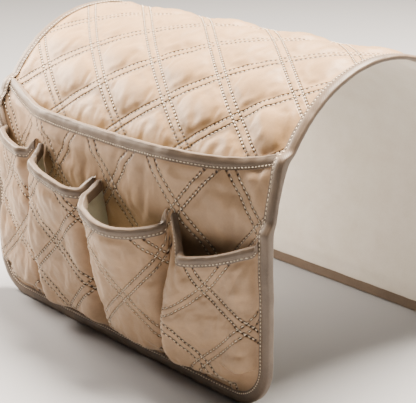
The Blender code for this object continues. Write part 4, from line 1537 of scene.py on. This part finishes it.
@dataclass
class DividerSeams:
    """Bar tacks and the stitched seams that hold neighbouring pockets to the magazine pocket."""

    magazine: MagazinePocket
    strip: Strip = STRIP
    bar_width: float = 0.0013
    pitch: float = 0.0028

    def build(self, finishes: Finishes) -> None:
        """Make each seam as a bar tack of close stitches with a row of stitches below it."""
        for number, x in enumerate(DIVIDERS, 1):
            head = self.strip.row_top(x) - self.strip.lip_flat
            bar = np.linspace(head - 0.012, head, 13)
            row = np.arange(0.012, head - 0.013, self.pitch)
            starts = [(x - self.bar_width, s, x + self.bar_width, s) for s in bar]
            starts += [(x, s - 0.001, x, s + 0.001) for s in row]
            x0, s0, x1, s1 = np.array(starts).T

            def place(across: Array, along: Array) -> Array:
                level = self.magazine.height(across, along) + 0.0007
                return self.strip.drape(across, along, level)

            ends = place(x0, s0), place(x1, s1), place(x0 + 0.001, s0 - 0.001)
            thread = stitch_piece(f"divider_stitches_{number}", *ends, finishes.thread, width=0.00055)
            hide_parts(f"divider_seam_{number}")
            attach(thread, "front_flap")
            LOG.info("divider seam %d rides on front_flap", number)


@dataclass(frozen=True)
class Studio:
    """Pale floor, soft lights and the camera at the photograph's view."""

    place: tuple[float, float, float] = (0.7024, -0.6382, 0.1744)
    focal: float = 106.21
    yaw: float = 48.613
    pitch: float = 18.282
    roll: float = -0.434
    floor: float = -0.2303

    def axes(self) -> tuple[Vector, Vector, Vector]:
        """Right, up and back directions of the camera."""
        a, e, r = (math.radians(angle) for angle in (self.yaw, self.pitch, self.roll))
        back = Vector((math.sin(a) * math.cos(e), -math.cos(a) * math.cos(e), math.sin(e)))
        right = Vector((math.cos(a), math.sin(a), 0))
        up = back.cross(right)
        return (math.cos(r) * right + math.sin(r) * up, -math.sin(r) * right + math.cos(r) * up, back)

    def build(self) -> None:
        """Make the floor, the lights, the world and the camera."""
        right, up, back = self.axes()
        camera = bpy.data.cameras.new("photo_view")
        camera.lens, camera.sensor_width, camera.clip_start = self.focal, 36.0, 0.01
        seen = bpy.data.objects.new("photo_view", camera)
        seen.matrix_world = Matrix.Translation(self.place) @ Matrix((right, up, back)).transposed().to_4x4()
        bpy.context.scene.collection.objects.link(seen)
        bpy.context.scene.camera = seen
        self.make_floor()
        # The key hangs above and a little behind, so the saddle is bright and the front gets only its edge
        self.light("top_softbox", Vector((-0.05, 0.55, 1.50)), 0.9, 300.0, "#ffefdc")
        # The small box grazes the front from the left and falls off towards the right
        self.light("left_softbox", Vector((-0.36, -0.15, 0.20)), 0.20, 5.0, "#ffeedd")
        world = bpy.data.worlds.new("soft_white")
        world.use_nodes = True
        backdrop = world.node_tree.nodes["Background"]
        backdrop.inputs["Color"].default_value = (1, 1, 1, 1)
        backdrop.inputs["Strength"].default_value = 0.05
        bpy.context.scene.world = world

    def make_floor(self) -> None:
        """Plain pale floor just under the hems."""
        work = bmesh.new()
        bmesh.ops.create_grid(work, x_segments=1, y_segments=1, size=6)
        bmesh.ops.translate(work, vec=(0, 0, self.floor), verts=work.verts)
        mesh = bpy.data.meshes.new("studio_floor")
        work.to_mesh(mesh)
        work.free()
        material = bpy.data.materials.new("matt_white_floor")
        material.use_nodes = True
        shader = material.node_tree.nodes["Principled BSDF"]
        shader.inputs["Base Color"].default_value = to_linear("#9ea1a6")
        shader.inputs["Roughness"].default_value = 0.9
        mesh.materials.append(material)
        floor = bpy.data.objects.new("studio_floor", mesh)
        bpy.context.scene.collection.objects.link(floor)

    def light(self, name: str, place: Vector, size: float, power: float, colour: str) -> None:
        """Square softbox that points at the organizer.

        Args:
            name: Name of the light.
            place: Where it stands, from the middle of the organizer.
            size: Side of the softbox.
            power: Its power in watts.
            colour: Its colour as a hex value.
        """
        lamp = bpy.data.lights.new(name, "AREA")
        lamp.size, lamp.energy, lamp.color = size, power, to_linear(colour)[:3]
        box = bpy.data.objects.new(name, lamp)
        box.visible_camera = False
        middle = Vector((0, -0.03, -0.12))
        box.location = middle + place
        box.rotation_euler = (-place).to_track_quat("-Z", "Y").to_euler()
        bpy.context.scene.collection.objects.link(box)


# Places across of the seams between the small pockets
DIVIDERS = (-0.0775, 0.0, 0.0800)
# How far the slack of each small pocket's left side leans to the left and stands out
SWELLS = ((0.0, 0.0), (0.0045, 0.0080), (0.0, 0.0), (0.0105, 0.0115))
# Lip of each small pocket at its left fold, middle and right fold: place across as a share of its width, depth as
# a share of the pleats' depth, and rise as a share of the lip's drop
POCKET_LIPS = (
    ((0.20, 0.0, -0.85), (0.50, 0.27, -0.80), (0.88, 0.22, -0.50)),
    ((0.05, 0.39, -0.39), (0.50, 0.62, -0.36), (0.95, 0.50, -0.38)),
    ((0.05, 0.75, -0.33), (0.547, 0.93, -0.74), (0.985, 0.17, -0.52)),
    ((0.168, 0.48, -1.33), (0.50, 0.36, -1.08), (0.885, 0.0, -0.52)),
)


def main() -> None:
    """Build the organizer piece by piece on its frame."""
    logging.basicConfig(level=logging.INFO, format="%(message)s")
    QUILT.sew()
    finishes = Finishes()
    QuiltedStrip().build(finishes)
    magazine = MagazinePocket()
    magazine.build(finishes)
    for number, lips in enumerate(POCKET_LIPS, 1):
        SmallPocket(number, lips, magazine, swell=SWELLS[number - 1]).build(finishes)
    DividerSeams(magazine).build(finishes)
    Studio().build()


if __name__ == "__main__":
    main()
